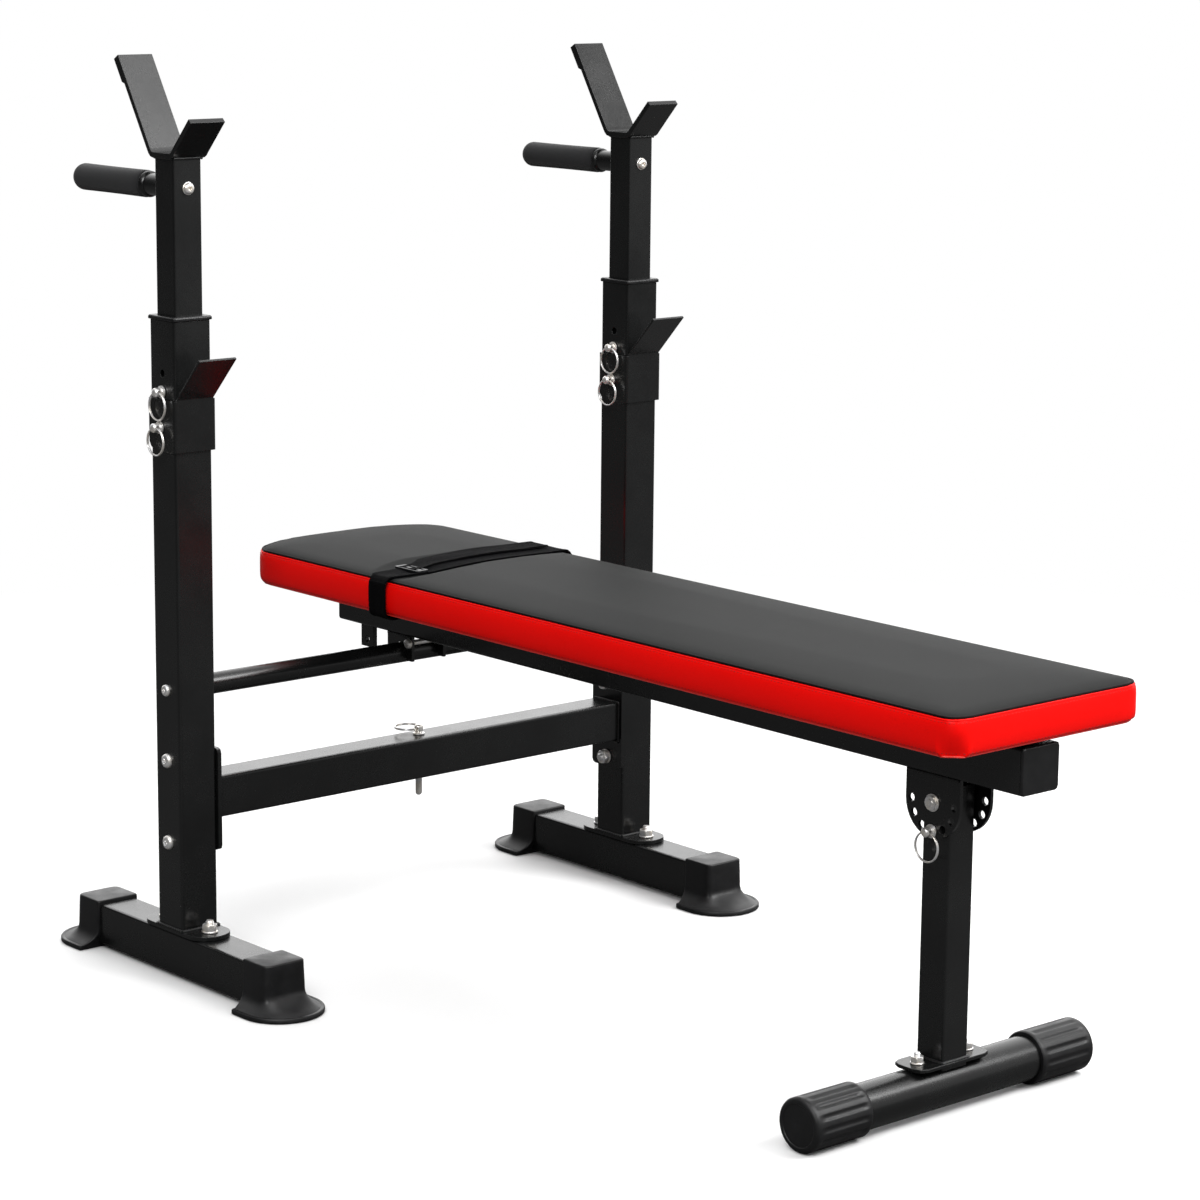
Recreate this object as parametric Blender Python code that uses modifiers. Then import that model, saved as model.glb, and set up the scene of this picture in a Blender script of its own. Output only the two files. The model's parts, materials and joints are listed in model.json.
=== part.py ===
"""Adjustable squat and bench press rack with its flat bench.

Lengths are millimetres here and are written to the meshes in metres. +X is across the rack,
-Y is the foot end of the bench, +Z is up and the floor is z = 0.
"""

import math

import bmesh
import bpy
from mathutils import Matrix, Vector

MM = 0.001
GAP = 0.3
ORIGIN = Vector((0.0, 395.5, 0.0))   # carries the upright plane, y = 0 below, to its place

SPREAD = 338.0          # upright centre to the middle plane
TUBE = 25.0             # half width of the outer tube
WALL = 2.3
FOOT_Z = (5.0, 55.0)
FOOT_END = 188.0
UPRIGHT_Z = (55.3, 769.0)
FLANGE_T = 5.0
POST = 19.0             # half width of the sliding post and of the bench leg
POST_WALL = 1.8
POST_Z = (420.0, 951.0)
PITCH = 40.0            # post holes
PIN_Z = (648.0, 688.0)
SPARE_HOLE_Z = 709.0
PIN_R = 4.0
HOLE_R = 4.5
RING_R = 15.8
RING_WIRE = 1.3
CATCH_T = 3.0
CATCH_Z = (621.0, 680.0)
HOOK_HALF = 23.0
HOOK_T = 6.0
GRIP_Z = 917.0
GRIP_Y = (60.0, 201.0)
BEAM_Z = (187.0, 237.0)
BEAM_HALF_Y = 22.0
BEAM_PIN_X = 3.0
BEAM_BOLT_Z = (163.0, 260.0)
PLATE_Z = (150.0, 272.0)
BAR_Z = 343.0           # crossbar under the bench head
BAR_R = 12.5

PAD_HALF = 142.0
PAD_Z = (420.8, 463.5)
PAD_CORNER = 20.0
BOARD_T = 10.0
PAD_FOOT = -1024.0
PAD_HEAD = 177.0
PAD_SHOULDER = 122.0
RAIL_HALF = 27.5
RAIL_Z = (365.0, 415.0)
RAIL_Y = (-1008.0, 118.0)
PIVOT_Y = -888.0
PIVOT_Z = 335.0
EAR_R = 38.0
EAR_X = (21.0, 25.0)
INDEX_R = 30.0
LEG_Z = (50.0, 352.0)
STAB_Z = 29.0
STAB_R = 24.5
STAB_CAP = (128.0, 208.0)
STRAP_T = 1.9
SADDLE_BOLT = (-18.5, 357.0)    # y, z

STEEL = ("black_powder_coat", (0.012, 0.014, 0.016), 0.32, 0.0)
ZINC = ("zinc", (0.62, 0.63, 0.64), 0.3, 1.0)
RUBBER = ("black_rubber", (0.02, 0.02, 0.022), 0.7, 0.0)
FOAM = ("black_foam", (0.015, 0.015, 0.015), 0.9, 0.0)
PLASTIC = ("black_plastic", (0.018, 0.018, 0.02), 0.5, 0.0)
VINYL = ("vinyl", (0.06, 0.06, 0.065), 0.45, 0.0)
BOARD = ("board", (0.16, 0.11, 0.07), 0.8, 0.0)
WEBBING = ("webbing", (0.015, 0.015, 0.016), 0.85, 0.0)


# ---------------------------------------------------------------- scene and materials


def clear_scene():
    for obj in list(bpy.data.objects):
        bpy.data.objects.remove(obj, do_unlink=True)


def collection(name, helper=False):
    made = bpy.data.collections.new(name)
    bpy.context.scene.collection.children.link(made)
    made.hide_render = helper
    return made


def material(name, colour, rough, metal):
    found = bpy.data.materials.get(name)
    if found:
        return found
    made = bpy.data.materials.new(name)
    made.use_nodes = True
    shader = made.node_tree.nodes["Principled BSDF"]
    shader.inputs["Base Color"].default_value = (*colour, 1.0)
    shader.inputs["Roughness"].default_value = rough
    shader.inputs["Metallic"].default_value = metal
    return made


# ---------------------------------------------------------------- mesh helpers


def solid(name, points, faces, finish=None, at=(0, 0, 0)):
    """A mesh object from points in mm. With no finish it is a hidden tool for a Boolean."""
    mesh = bpy.data.meshes.new(name)
    near = Vector(at)
    mesh.from_pydata([(Vector(p) - near) * MM for p in points], [], faces)
    work = bmesh.new()
    work.from_mesh(mesh)
    bmesh.ops.recalc_face_normals(work, faces=work.faces)
    if work.calc_volume(signed=True) < 0:
        bmesh.ops.reverse_faces(work, faces=work.faces)
    work.to_mesh(mesh)
    work.free()
    obj = bpy.data.objects.new(name, mesh)
    obj.location = (near + ORIGIN) * MM
    if finish is None:
        TOOLS.objects.link(obj)
        obj.hide_render = True
        obj.display_type = "WIRE"
    else:
        PARTS.objects.link(obj)
        mesh.materials.append(material(*finish))
    return obj


def boolean(obj, tools, operation):
    for tool in tools:
        made = obj.modifiers.new(tool.name, "BOOLEAN")
        made.operation = operation
        made.solver = "EXACT"
        made.object = tool
    return obj


def cut(obj, *tools):
    return boolean(obj, tools, "DIFFERENCE")


def join(obj, *tools):
    return boolean(obj, tools, "UNION")


def bevel(obj, width, segments=2, angle=40):
    made = obj.modifiers.new("edge", "BEVEL")
    made.width = width * MM
    made.segments = segments
    made.limit_method = "ANGLE"
    made.angle_limit = math.radians(angle)
    made.harden_normals = False
    return obj


def turn(point, axis):
    """Carry a point drawn about +Z onto the named axis."""
    x, y, z = point
    if axis == "X":
        return (z, x, y)
    if axis == "Y":
        return (y, z, x)
    return (x, y, z)


def loft(name, rings, finish=None, at=(0, 0, 0), closed=False):
    """Skin equal rings of points. closed joins the last ring to the first, as round a tube wall."""
    count = len(rings[0])
    points = [p for ring in rings for p in ring]
    faces = []
    spans = len(rings) if closed else len(rings) - 1
    for i in range(spans):
        here, there = i * count, (i + 1) % len(rings) * count
        for k in range(count):
            n = (k + 1) % count
            faces.append((here + k, here + n, there + n, there + k))
    if not closed:
        faces.append(tuple(reversed(range(count))))
        faces.append(tuple(range(len(points) - count, len(points))))
    return solid(name, points, faces, finish, at)


def prism(name, outline, axis, low, high, finish=None, at=(0, 0, 0)):
    """A flat outline pushed from low to high along the axis."""
    rings = [[turn((u, v, h), axis) for u, v in outline] for h in (low, high)]
    return loft(name, rings, finish, at)


def block(name, x, y, z, finish=None, at=(0, 0, 0)):
    outline = [(x[0], y[0]), (x[1], y[0]), (x[1], y[1]), (x[0], y[1])]
    return prism(name, outline, "Z", z[0], z[1], finish, at)


def rounded(half_u, half_v, radius, centre=(0.0, 0.0), steps=2):
    """A rectangle outline with round corners."""
    outline = []
    for corner in range(4):
        su = 1 if corner in (0, 3) else -1
        sv = 1 if corner in (0, 1) else -1
        for k in range(steps + 1):
            a = math.radians(90 * corner + 90 * k / steps)
            outline.append(
                (
                    centre[0] + su * (half_u - radius) + radius * math.cos(a),
                    centre[1] + sv * (half_v - radius) + radius * math.sin(a),
                )
            )
    return outline


def box_tube(name, half_u, half_v, wall, axis, low, high, finish, centre=(0, 0), at=(0, 0, 0), radius=4.0):
    """A rectangular tube with round corners, open at both ends."""
    outer = rounded(half_u, half_v, radius, centre)
    inner = rounded(half_u - wall, half_v - wall, max(radius - wall, 0.6), centre)
    rings = [
        [turn((u, v, h), axis) for u, v in line]
        for line, h in ((outer, low), (outer, high), (inner, high), (inner, low))
    ]
    return loft(name, rings, finish, at, closed=True)


def lathe(name, profile, axis, centre, finish=None, at=None, sides=14, twist=0.0):
    """A closed solid of revolution: profile is (radius, height) pairs with both ends on the axis."""
    points, faces, rings = [], [], []
    for radius, height in profile:
        start = len(points)
        count = 1 if radius < 1e-6 else sides
        for k in range(count):
            a = twist + 2 * math.pi * k / sides
            x, y, z = turn((radius * math.cos(a), radius * math.sin(a), height), axis)
            points.append((x + centre[0], y + centre[1], z + centre[2]))
        rings.append((start, count))
    for (a, na), (b, nb) in zip(rings, rings[1:]):
        for k in range(sides):
            n = (k + 1) % sides
            if na == 1:
                faces.append((a, b + k, b + n))
            elif nb == 1:
                faces.append((a + k, b, a + n))
            else:
                faces.append((a + k, a + n, b + n, b + k))
    return solid(name, points, faces, finish, at or (0, 0, 0))


def rod(name, radius, axis, centre, low, high, finish=None, at=None, sides=10, twist=0.0):
    profile = [(0, low), (radius, low), (radius, high), (0, high)]
    return lathe(name, profile, axis, centre, finish, at, sides, twist)


def ring_lathe(name, loop, axis, centre, finish=None, at=(0, 0, 0), sides=24):
    """A closed loop of (radius, height) pairs turned about the axis, open through the middle."""
    rings = []
    for r, h in loop:
        ring = []
        for k in range(sides):
            a = 2 * math.pi * k / sides
            x, y, z = turn((r * math.cos(a), r * math.sin(a), h), axis)
            ring.append((x + centre[0], y + centre[1], z + centre[2]))
        rings.append(ring)
    return loft(name, rings, finish, at, closed=True)


def key_ring(name, centre, across, down, radius, wire, finish, at):
    """A round wire ring centred at centre, in the plane of the two directions."""
    u, v = Vector(across).normalized(), Vector(down).normalized()
    w = u.cross(v)
    rings = []
    for k in range(20):
        a = 2 * math.pi * k / 20
        out = u * math.sin(a) + v * math.cos(a)
        ring = []
        for m in range(6):
            b = 2 * math.pi * (m + 0.5) / 6
            ring.append(Vector(centre) + out * (radius + wire * math.cos(b)) + w * wire * math.sin(b))
        rings.append(ring)
    return loft(name, rings, finish, at, closed=True)


# ---------------------------------------------------------------- rack frame


def side_name(side):
    return "left" if side < 0 else "right"


def boot_ring(half, back, centre, reach, corner, z, side, end):
    """One level of a foot boot: a straight inner edge, then a front that runs from square to round."""
    line = []
    for k in range(4):
        a = math.radians(90 * k / 3)
        line.append((half - corner + corner * math.sin(a), back - corner + corner * math.cos(a)))
    for k in range(15):
        a = math.radians(180 * k / 14)
        c, s = math.cos(a), math.sin(a)
        power = 2.0 if reach >= half * 0.95 and corner < 3 else 5.0
        grow = (abs(c) ** power + abs(s) ** power) ** (-1 / power)
        line.append((half * grow * c, centre - reach * grow * s))
    for k in range(4):
        a = math.radians(90 - 90 * k / 3)
        line.append((-half + corner - corner * math.sin(a), back - corner + corner * math.cos(a)))
    return [(side * SPREAD + x, end * y, z) for x, y in line]


def boot(side, end):
    label = f"boot_{side_name(side)}_{'front' if end > 0 else 'rear'}"
    levels = (
        (50.0, -156.0, -183.0, 50.0, 2.5, 0.0),
        (50.0, -156.0, -183.0, 50.0, 2.5, 3.5),
        (41.0, -152.0, -181.0, 41.0, 2.5, 7.0),
        (34.0, -150.0, -175.0, 28.0, 4.0, 14.0),
        (30.0, -149.0, -172.0, 24.0, 4.0, 24.0),
        (28.0, -148.0, -170.0, 24.0, 4.0, 57.0),
        (27.0, -149.0, -170.0, 23.0, 4.0, 59.0),
    )
    rings = [boot_ring(h, b, c, r, k, z, side, end) for h, b, c, r, k, z in levels]
    made = loft(label, rings, RUBBER)
    x = side * SPREAD
    socket = block(
        label + "_socket",
        (x - TUBE - GAP, x + TUBE + GAP),
        sorted((end * -120.0, end * (-FOOT_END - GAP))),
        (FOOT_Z[0] - GAP, FOOT_Z[1] + GAP),
    )
    return cut(made, socket)


def foot(side):
    label = f"foot_{side_name(side)}"
    x, z = side * SPREAD, sum(FOOT_Z) / 2
    made = box_tube(label, TUBE, TUBE, WALL, "Y", -FOOT_END, FOOT_END, STEEL, centre=(z, x))
    holes = [
        rod(f"{label}_hole_{n}", 5.4, "Z", (x, y, 0), FOOT_Z[0] - 9, FOOT_Z[1] + 9)
        for n, y in enumerate((-44.0, 44.0))
    ]
    return cut(made, *holes)


def upright(side):
    label = f"upright_{side_name(side)}"
    x = side * SPREAD
    made = box_tube(label, TUBE, TUBE, WALL, "Z", *UPRIGHT_Z, STEEL, centre=(x, 0))
    outline = []
    for centre_y, first in ((40.0, 0), (-40.0, 180)):
        for k in range(13):
            a = math.radians(first + 15 * k)
            outline.append((x + 26.5 * math.cos(a), centre_y + 24.0 * math.sin(a)))
    flange = prism(label + "_flange", outline, "Z", UPRIGHT_Z[0], UPRIGHT_Z[0] + FLANGE_T)
    join(made, flange)
    tools = [
        rod(f"{label}_stud_{n}", 5.4, "Z", (x, y, 0), 40, 75) for n, y in enumerate((-44.0, 44.0))
    ]
    levels = (*BEAM_BOLT_Z, BAR_Z, *PIN_Z, SPARE_HOLE_Z)
    for n, z in enumerate(levels):
        radius = 5.4 if n < 3 else HOLE_R
        tools.append(rod(f"{label}_hole_{n}", radius, "X", (x, 0, z), -40, 40))
    return cut(made, *tools)


def flange_bolt(side, end):
    """Bolt up through the foot, with its nut on the flange."""
    label = f"flange_bolt_{side_name(side)}_{'front' if end > 0 else 'rear'}"
    x, y = side * SPREAD, end * -44.0
    top = UPRIGHT_Z[0] + FLANGE_T
    profile = (
        (0, 1.2), (9.0, 1.2), (9.0, FOOT_Z[0] - GAP), (4.9, FOOT_Z[0] - GAP),
        (4.9, top + 13.0), (4.0, top + 14.5), (0, top + 14.5),
    )
    made = lathe(label, profile, "Z", (x, y, 0), ZINC, (x, y, top))
    washer = rod(label + "_washer", 9.5, "Z", (x, y, 0), top + GAP, top + 1.8, sides=16)
    nut = rod(label + "_nut", 9.2, "Z", (x, y, 0), top + 1.5, top + 9.5, sides=6, twist=0.3)
    return join(made, washer, nut)


def collar(side):
    """Plastic bushing: a lip on the tube's end and a sleeve between the tube and the post."""
    label = f"collar_{side_name(side)}"
    top = UPRIGHT_Z[1] + GAP
    loop = (
        (19.4, 720.0), (22.3, 720.0), (22.3, top), (27.0, top),
        (27.0, top + 3.2), (25.8, top + 4.6), (19.4, top + 4.6),
    )
    rings = []
    for half, z in loop:
        radius = 4.0 if half > 22 else 1.9
        rings.append([(u, v, z) for u, v in rounded(half, half, radius, (side * SPREAD, 0))])
    return loft(label, rings, PLASTIC, closed=True)


def button_bolt(name, x_head, x_nut, z, finish=ZINC, shank=4.9, head=8.5, y=0.0):
    """A button head bolt along X with a hex socket, and a hex nut at its far end."""
    s = 1 if x_nut > x_head else -1
    span = abs(x_nut - x_head)
    profile = (
        (0, -5.2), (head * 0.6, -4.8), (head, -1.4), (head, 0.0),
        (shank, 0.0), (shank, span + 11.5), (shank - 1, span + 12.5), (0, span + 12.5),
    )
    profile = [(r, s * h) for r, h in profile]
    made = lathe(name, profile, "X", (x_head, y, z), finish, (x_head, y, z))
    nut_low, nut_high = sorted((s * span, s * (span + 8.0)))
    nut = rod(name + "_nut", head * 1.08, "X", (x_head, y, z), nut_low, nut_high, sides=6)
    join(made, nut)
    low, high = sorted((s * -8.0, s * -2.4))
    socket = rod(name + "_socket", head * 0.38, "X", (x_head, y, z), low, high, sides=6)
    return cut(made, socket)


def crossbeam():
    low, high = BEAM_Z
    inner = SPREAD - TUBE - GAP - 5.0
    mid = (low + high) / 2
    made = box_tube(
        "crossbeam", BEAM_HALF_Y, (high - low) / 2, 2.0, "X", -inner - 2, inner + 2, STEEL, centre=(0, mid)
    )
    for side in (-1, 1):
        outline = rounded(28.0, (PLATE_Z[1] - PLATE_Z[0]) / 2, 6.0, (0, sum(PLATE_Z) / 2))
        ends = sorted((side * inner, side * (inner + 5.0)))
        plate = prism(f"crossbeam_plate_{side_name(side)}", outline, "X", *ends)
        join(made, plate)
    tools = [
        rod(f"crossbeam_hole_{side_name(side)}_{n}", 5.4, "X", (0, 0, z), *sorted((side * 290, side * 330)))
        for side in (-1, 1)
        for n, z in enumerate(BEAM_BOLT_Z)
    ]
    tools.append(rod("crossbeam_pin_hole", HOLE_R, "Z", (BEAM_PIN_X, 0, 0), low - 20, high + 20))
    return cut(made, *tools)


def crossbar():
    """Round tube with a thick bored end for each bolt."""
    reach = SPREAD - TUBE - GAP
    half = [(BAR_R, reach), (4.3, reach), (4.3, reach - 24.0), (BAR_R - 2.0, reach - 24.0)]
    loop = half + [(r, -h) for r, h in reversed(half)]
    return ring_lathe("crossbar", loop, "X", (0, 0, BAR_Z), STEEL)


def crossbar_bolt(side):
    label = f"crossbar_bolt_{side_name(side)}"
    x = side * (SPREAD + TUBE + GAP)
    profile = (
        (0, 4.4), (4.2, 4.2), (6.2, 2.8), (7.0, 1.0), (7.0, 0.0),
        (3.9, 0.0), (3.9, -68.0), (3.2, -69.0), (0, -69.0),
    )
    profile = [(r, side * h) for r, h in profile]
    made = lathe(label, profile, "X", (x, 0, BAR_Z), ZINC, (x, 0, BAR_Z))
    low, high = sorted((side * 8.0, side * 2.0))
    return cut(made, rod(label + "_socket", 2.7, "X", (x, 0, BAR_Z), low, high, sides=6))


def catch(side):
    """Bar catch: a bracket round the tube with its front plate bent up into an arm."""
    label = f"catch_{side_name(side)}"
    x = side * SPREAD
    inner = TUBE + GAP
    outer = inner + CATCH_T
    low, high = CATCH_Z
    outline = [
        (x - outer, 23.0), (x - outer, -outer + 3), (x - outer + 1, -outer + 1), (x - outer + 3, -outer),
        (x + outer - 3, -outer), (x + outer - 1, -outer + 1), (x + outer, -outer + 3), (x + outer, 23.0),
        (x + inner, 23.0), (x + inner, -inner), (x - inner, -inner), (x - inner, 23.0),
    ]
    made = prism(label, outline, "Z", low, high, STEEL)
    lift = math.sqrt(0.5) * CATCH_T
    arm = [
        (-inner, high - 14), (-inner, high), (-74.0 + lift, high + 49.0 + lift),
        (-74.0 - lift * 0.2, high + 49.0 + lift * 0.2), (-outer, high + 1.2), (-outer, high - 14),
    ]
    join(made, prism(label + "_arm", arm, "X", x - TUBE, x + TUBE))
    tools = []
    for n in (-1, 1):
        round_off = [(23.5, low - 1), (23.5, low + 10), (20.0, low + 4), (13.0, low - 1)]
        ends = sorted((x + n * (inner - 1), x + n * (outer + 1)))
        tools.append(prism(f"{label}_corner_{n + 1}", round_off, "X", *ends))
    tools.append(rod(label + "_hole", HOLE_R, "X", (x, 0, PIN_Z[0]), -40, 40))
    return cut(made, *tools)


# ---------------------------------------------------------------- sliding posts


def strip(line, thick):
    """Outline of a bent flat bar: the line on its outer side, thickened inward by its corner bisectors."""
    inner = []
    for i, p in enumerate(line):
        before = Vector(line[max(i - 1, 0)])
        after = Vector(line[min(i + 1, len(line) - 1)])
        a = (Vector(p) - before).normalized() if i else (after - Vector(p)).normalized()
        b = (after - Vector(p)).normalized() if i < len(line) - 1 else a
        na, nb = Vector((-a.y, a.x)), Vector((-b.y, b.x))
        mid = (na + nb).normalized()
        inner.append(tuple(Vector(p) + mid * thick / max(mid.dot(na), 0.2)))
    return list(line) + inner[::-1]


def post(side):
    """Square tube with the bent bar hook welded on its top."""
    label = f"post_{side_name(side)}"
    x = side * SPREAD
    at = (x, 0, PIN_Z[1])
    made = box_tube(label, POST, POST, POST_WALL, "Z", *POST_Z, STEEL, centre=(x, 0), at=at, radius=3.0)
    base = POST_Z[1] - 1.0
    line = [(-60.0, base + 42.0), (-26.5, base + 6.5), (-23.5, base + 3.0), (-20.0, base + 0.9), (-16.0, base)]
    line += [(16.0, base), (20.5, base + 1.0), (24.0, base + 4.0), (26.5, base + 7.5), (88.0, base + 108.0)]
    bar = strip(line, HOOK_T)
    tip = [(88.0, base + 108.0), (91.0, base + 106.2), (75.5, base + 81.0), (70.5, base + 79.5)]
    cut_at = len(line) - 1
    bar = bar[:cut_at] + tip[::-1] + bar[cut_at + 1 :]
    join(made, prism(label + "_hook", bar, "X", x - HOOK_HALF, x + HOOK_HALF))
    tools = [rod(f"{label}_hole_{k}", HOLE_R, "X", (x, 0, PIN_Z[1] - PITCH * k), -40, 40) for k in range(7)]
    tools.append(rod(label + "_handle_hole", 6.4, "Y", (x, 0, GRIP_Z), -40, 40))
    return cut(made, *tools)


def handle(side):
    """Dip handle: a round tube with a shoulder against the post, held from the front by a bolt."""
    label = f"handle_{side_name(side)}"
    x = side * SPREAD
    profile = (
        (0, -14.0), (6.0, -14.0), (6.0, POST + GAP), (12.5, POST + GAP), (12.5, 55.0),
        (15.0, 55.0), (15.0, 59.0), (11.0, 59.0), (11.0, 192.0), (0, 192.0),
    )
    made = lathe(label, profile, "Y", (x, 0, GRIP_Z), STEEL, (x, 0, PIN_Z[1]))
    return cut(made, rod(label + "_bore", 4.2, "Y", (x, 0, GRIP_Z), -20.0, 12.0))


def handle_bolt(side):
    label = f"handle_bolt_{side_name(side)}"
    x = side * SPREAD
    profile = (
        (0, -POST - 5.6), (3.6, -POST - 5.4), (5.6, -POST - 4.4), (7.2, -POST - 2.2), (7.4, -POST - GAP),
        (3.9, -POST - GAP), (3.9, 6.0), (0, 6.0),
    )
    made = lathe(label, profile, "Y", (x, 0, GRIP_Z), ZINC, (x, 0, PIN_Z[1]))
    return cut(made, rod(label + "_socket", 2.6, "Y", (x, 0, GRIP_Z), -POST - 9, -POST - 3.0, sides=6))


def grip(side):
    """Foam sleeve with a round closed end."""
    label = f"grip_{side_name(side)}"
    x = side * SPREAD
    low, high = GRIP_Y
    radius, bore = 15.5, 11.3
    loop = [(0, 192.4), (bore, 192.4), (bore, low), (radius - 1.2, low), (radius, low + 1.5)]
    for k in range(7):
        a = math.radians(15 * k)
        loop.append((radius - 8 + 8 * math.cos(a), high - 8 + 8 * math.sin(a)))
    loop.append((0, high))
    return lathe(label, loop, "Y", (x, 0, GRIP_Z), FOAM, (x, 0, PIN_Z[1]), sides=20)


# ---------------------------------------------------------------- lock pins


def lock_pin(name, face, length, axis, out, hole_axis):
    """A lock pin whose head stands out from a face, drilled across for its ring. out is +1 or -1."""
    head = (
        (0, -length), (2.4, -length), (PIN_R, -length + 2.5), (PIN_R, 0.3), (7.0, 0.3), (7.0, 2.3),
        (5.2, 2.6), (5.2, 11.6), (4.2, 12.6), (0, 12.6),
    )
    profile = [(r, out * h) for r, h in head]
    made = lathe(name, profile, axis, face, ZINC, face, sides=14)
    eye = list(face)
    eye["XYZ".index(axis)] += out * 7.2
    if isinstance(hole_axis, str):
        tool = rod(name + "_eye", 2.5, hole_axis, eye, -12, 12, sides=10)
    else:
        tool = rod(name + "_eye", 2.5, "X", eye, -12, 12, sides=10)
        spin = Vector((1, 0, 0)).rotation_difference(Vector(hole_axis)).to_matrix().to_4x4()
        pivot = Matrix.Translation(Vector(eye) * MM)
        tool.data.transform(pivot @ spin @ pivot.inverted())
    return cut(made, tool), eye


def upright_pin(side, level):
    """Both uprights take their pins from the -X side."""
    word = "catch" if level == 0 else "post"
    face = (side * SPREAD - TUBE - GAP - (CATCH_T if level == 0 else 0.0), 0, PIN_Z[level])
    label = f"{word}_pin_{side_name(side)}"
    _, eye = lock_pin(label, face, 62.0 if level == 0 else 59.0, "X", -1, "Y")
    down = Vector((0, 0, -1))
    centre = Vector(eye) + down * RING_R
    key_ring(f"{word}_ring_{side_name(side)}", centre, (0, 1, 0), -down, RING_R, RING_WIRE, ZINC, tuple(eye))


def beam_pin():
    face = (BEAM_PIN_X, 0, BEAM_Z[1])
    away = Vector((-0.35, 0.937, 0)).normalized()
    across = Vector((away.y, -away.x, 0))
    _, eye = lock_pin("beam_pin", face, 76.0, "Z", 1, across)
    centre = Vector(eye) + away * RING_R
    key_ring("beam_ring", centre, across, -away, RING_R, RING_WIRE, ZINC, tuple(eye))


def leg_pin():
    face = (-EAR_X[1], PIVOT_Y, PIVOT_Z - INDEX_R)
    _, eye = lock_pin("leg_pin", face, 5.4, "X", -1, "Y")
    down = Vector((0, 0, -1))
    centre = Vector(eye) + down * RING_R
    key_ring("leg_ring", centre, (0, 1, 0), -down, RING_R, RING_WIRE, ZINC, tuple(eye))


# ---------------------------------------------------------------- bench


BENCH_AT = (0, 0, BAR_Z)
LEG_AT = (0, PIVOT_Y, PIVOT_Z)


def pad_outline(inset=0.0):
    """Round foot corners, and a head end that bows out between tapered shoulders."""
    half = PAD_HALF - inset
    line = []
    for k in range(7):
        a = math.radians(180 + 15 * k)
        line.append((-half + PAD_CORNER + PAD_CORNER * math.cos(a), PAD_FOOT + inset + PAD_CORNER + PAD_CORNER * math.sin(a)))
    for k in range(7):
        a = math.radians(270 + 15 * k)
        line.append((half - PAD_CORNER + PAD_CORNER * math.cos(a), PAD_FOOT + inset + PAD_CORNER + PAD_CORNER * math.sin(a)))
    for k in range(17):
        u = 1 - k / 8
        rise = (1 - abs(u) ** 2.6) ** (1 / 1.7)
        line.append((half * u, PAD_SHOULDER + (PAD_HEAD - inset - PAD_SHOULDER) * rise))
    return line


def pad():
    """Cushion with a pocket in its underside for the board."""
    made = prism("pad", pad_outline(), "Z", *PAD_Z, VINYL, at=BENCH_AT)
    bevel(made, 7.0, 3, 50)
    return cut(made, prism("pad_pocket", pad_outline(13.7), "Z", PAD_Z[0] - 4.0, PAD_Z[0] + BOARD_T + GAP))


def pad_board():
    return prism("pad_board", pad_outline(14.0), "Z", RAIL_Z[1] + 3.3, PAD_Z[0] + BOARD_T, BOARD, at=BENCH_AT)


def ear_outline():
    line = [(PIVOT_Y + EAR_R, RAIL_Z[0] + 1.2), (PIVOT_Y - EAR_R, RAIL_Z[0] + 1.2)]
    for k in range(17):
        a = math.radians(180 + 11.25 * k)
        line.append((PIVOT_Y + EAR_R * math.cos(a), PIVOT_Z + EAR_R * math.sin(a)))
    return line


def saddle_outline():
    """Side plate that drops over the crossbar with an open round slot."""
    slot = BAR_R + 0.6
    line = [(24.0, RAIL_Z[0] + 1.2), (-24.0, RAIL_Z[0] + 1.2), (-24.0, BAR_Z - 8), (-slot, BAR_Z - 8), (-slot, BAR_Z)]
    for k in range(1, 12):
        a = math.radians(180 - 15 * k)
        line.append((slot * math.cos(a), BAR_Z + slot * math.sin(a)))
    return line + [(slot, BAR_Z), (slot, BAR_Z - 8), (24.0, BAR_Z - 8)]


def rail():
    """Bench underframe: the long tube with its seat plates, saddle, tab and leg ears welded on."""
    z = sum(RAIL_Z) / 2
    made = box_tube(
        "underframe", (RAIL_Z[1] - RAIL_Z[0]) / 2, RAIL_HALF, 2.0, "Y", *RAIL_Y, STEEL, centre=(z, 0), at=BENCH_AT
    )
    top = (RAIL_Z[1] - 1.0, RAIL_Z[1] + 3.0)
    for n, y in enumerate((70.0, -450.0, -900.0)):
        join(made, block(f"seat_plate_{n}", (-100, 100), (y - 20, y + 20), top))
    for s in (-1, 1):
        ends = sorted((s * EAR_X[0], s * EAR_X[1]))
        join(made, prism(f"ear_{side_name(s)}", ear_outline(), "X", *ends))
        join(made, prism(f"saddle_{side_name(s)}", saddle_outline(), "X", *sorted((s * 22.0, s * 26.0))))
    tab = block("tab", (-3, 3), (83.0, 107.0), (331.5, RAIL_Z[0] + 1.2))
    join(made, tab)
    tools = [rod("tab_hole", 4.5, "X", (0, 95.0, 341.0), -10, 10)]
    tools.append(rod("saddle_hole", 3.5, "X", (0, SADDLE_BOLT[0], SADDLE_BOLT[1]), -40, 40))
    tools.append(rod("pivot_hole", 5.4, "X", (0, PIVOT_Y, PIVOT_Z), -40, 40))
    for n in range(7):
        a = math.radians(-90 + 30 * (n - 3))
        y, h = PIVOT_Y + INDEX_R * math.cos(a), PIVOT_Z + INDEX_R * math.sin(a)
        tools.append(rod(f"index_hole_{n}", HOLE_R, "X", (0, y, h), -40, 40))
    return cut(made, *tools)


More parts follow.
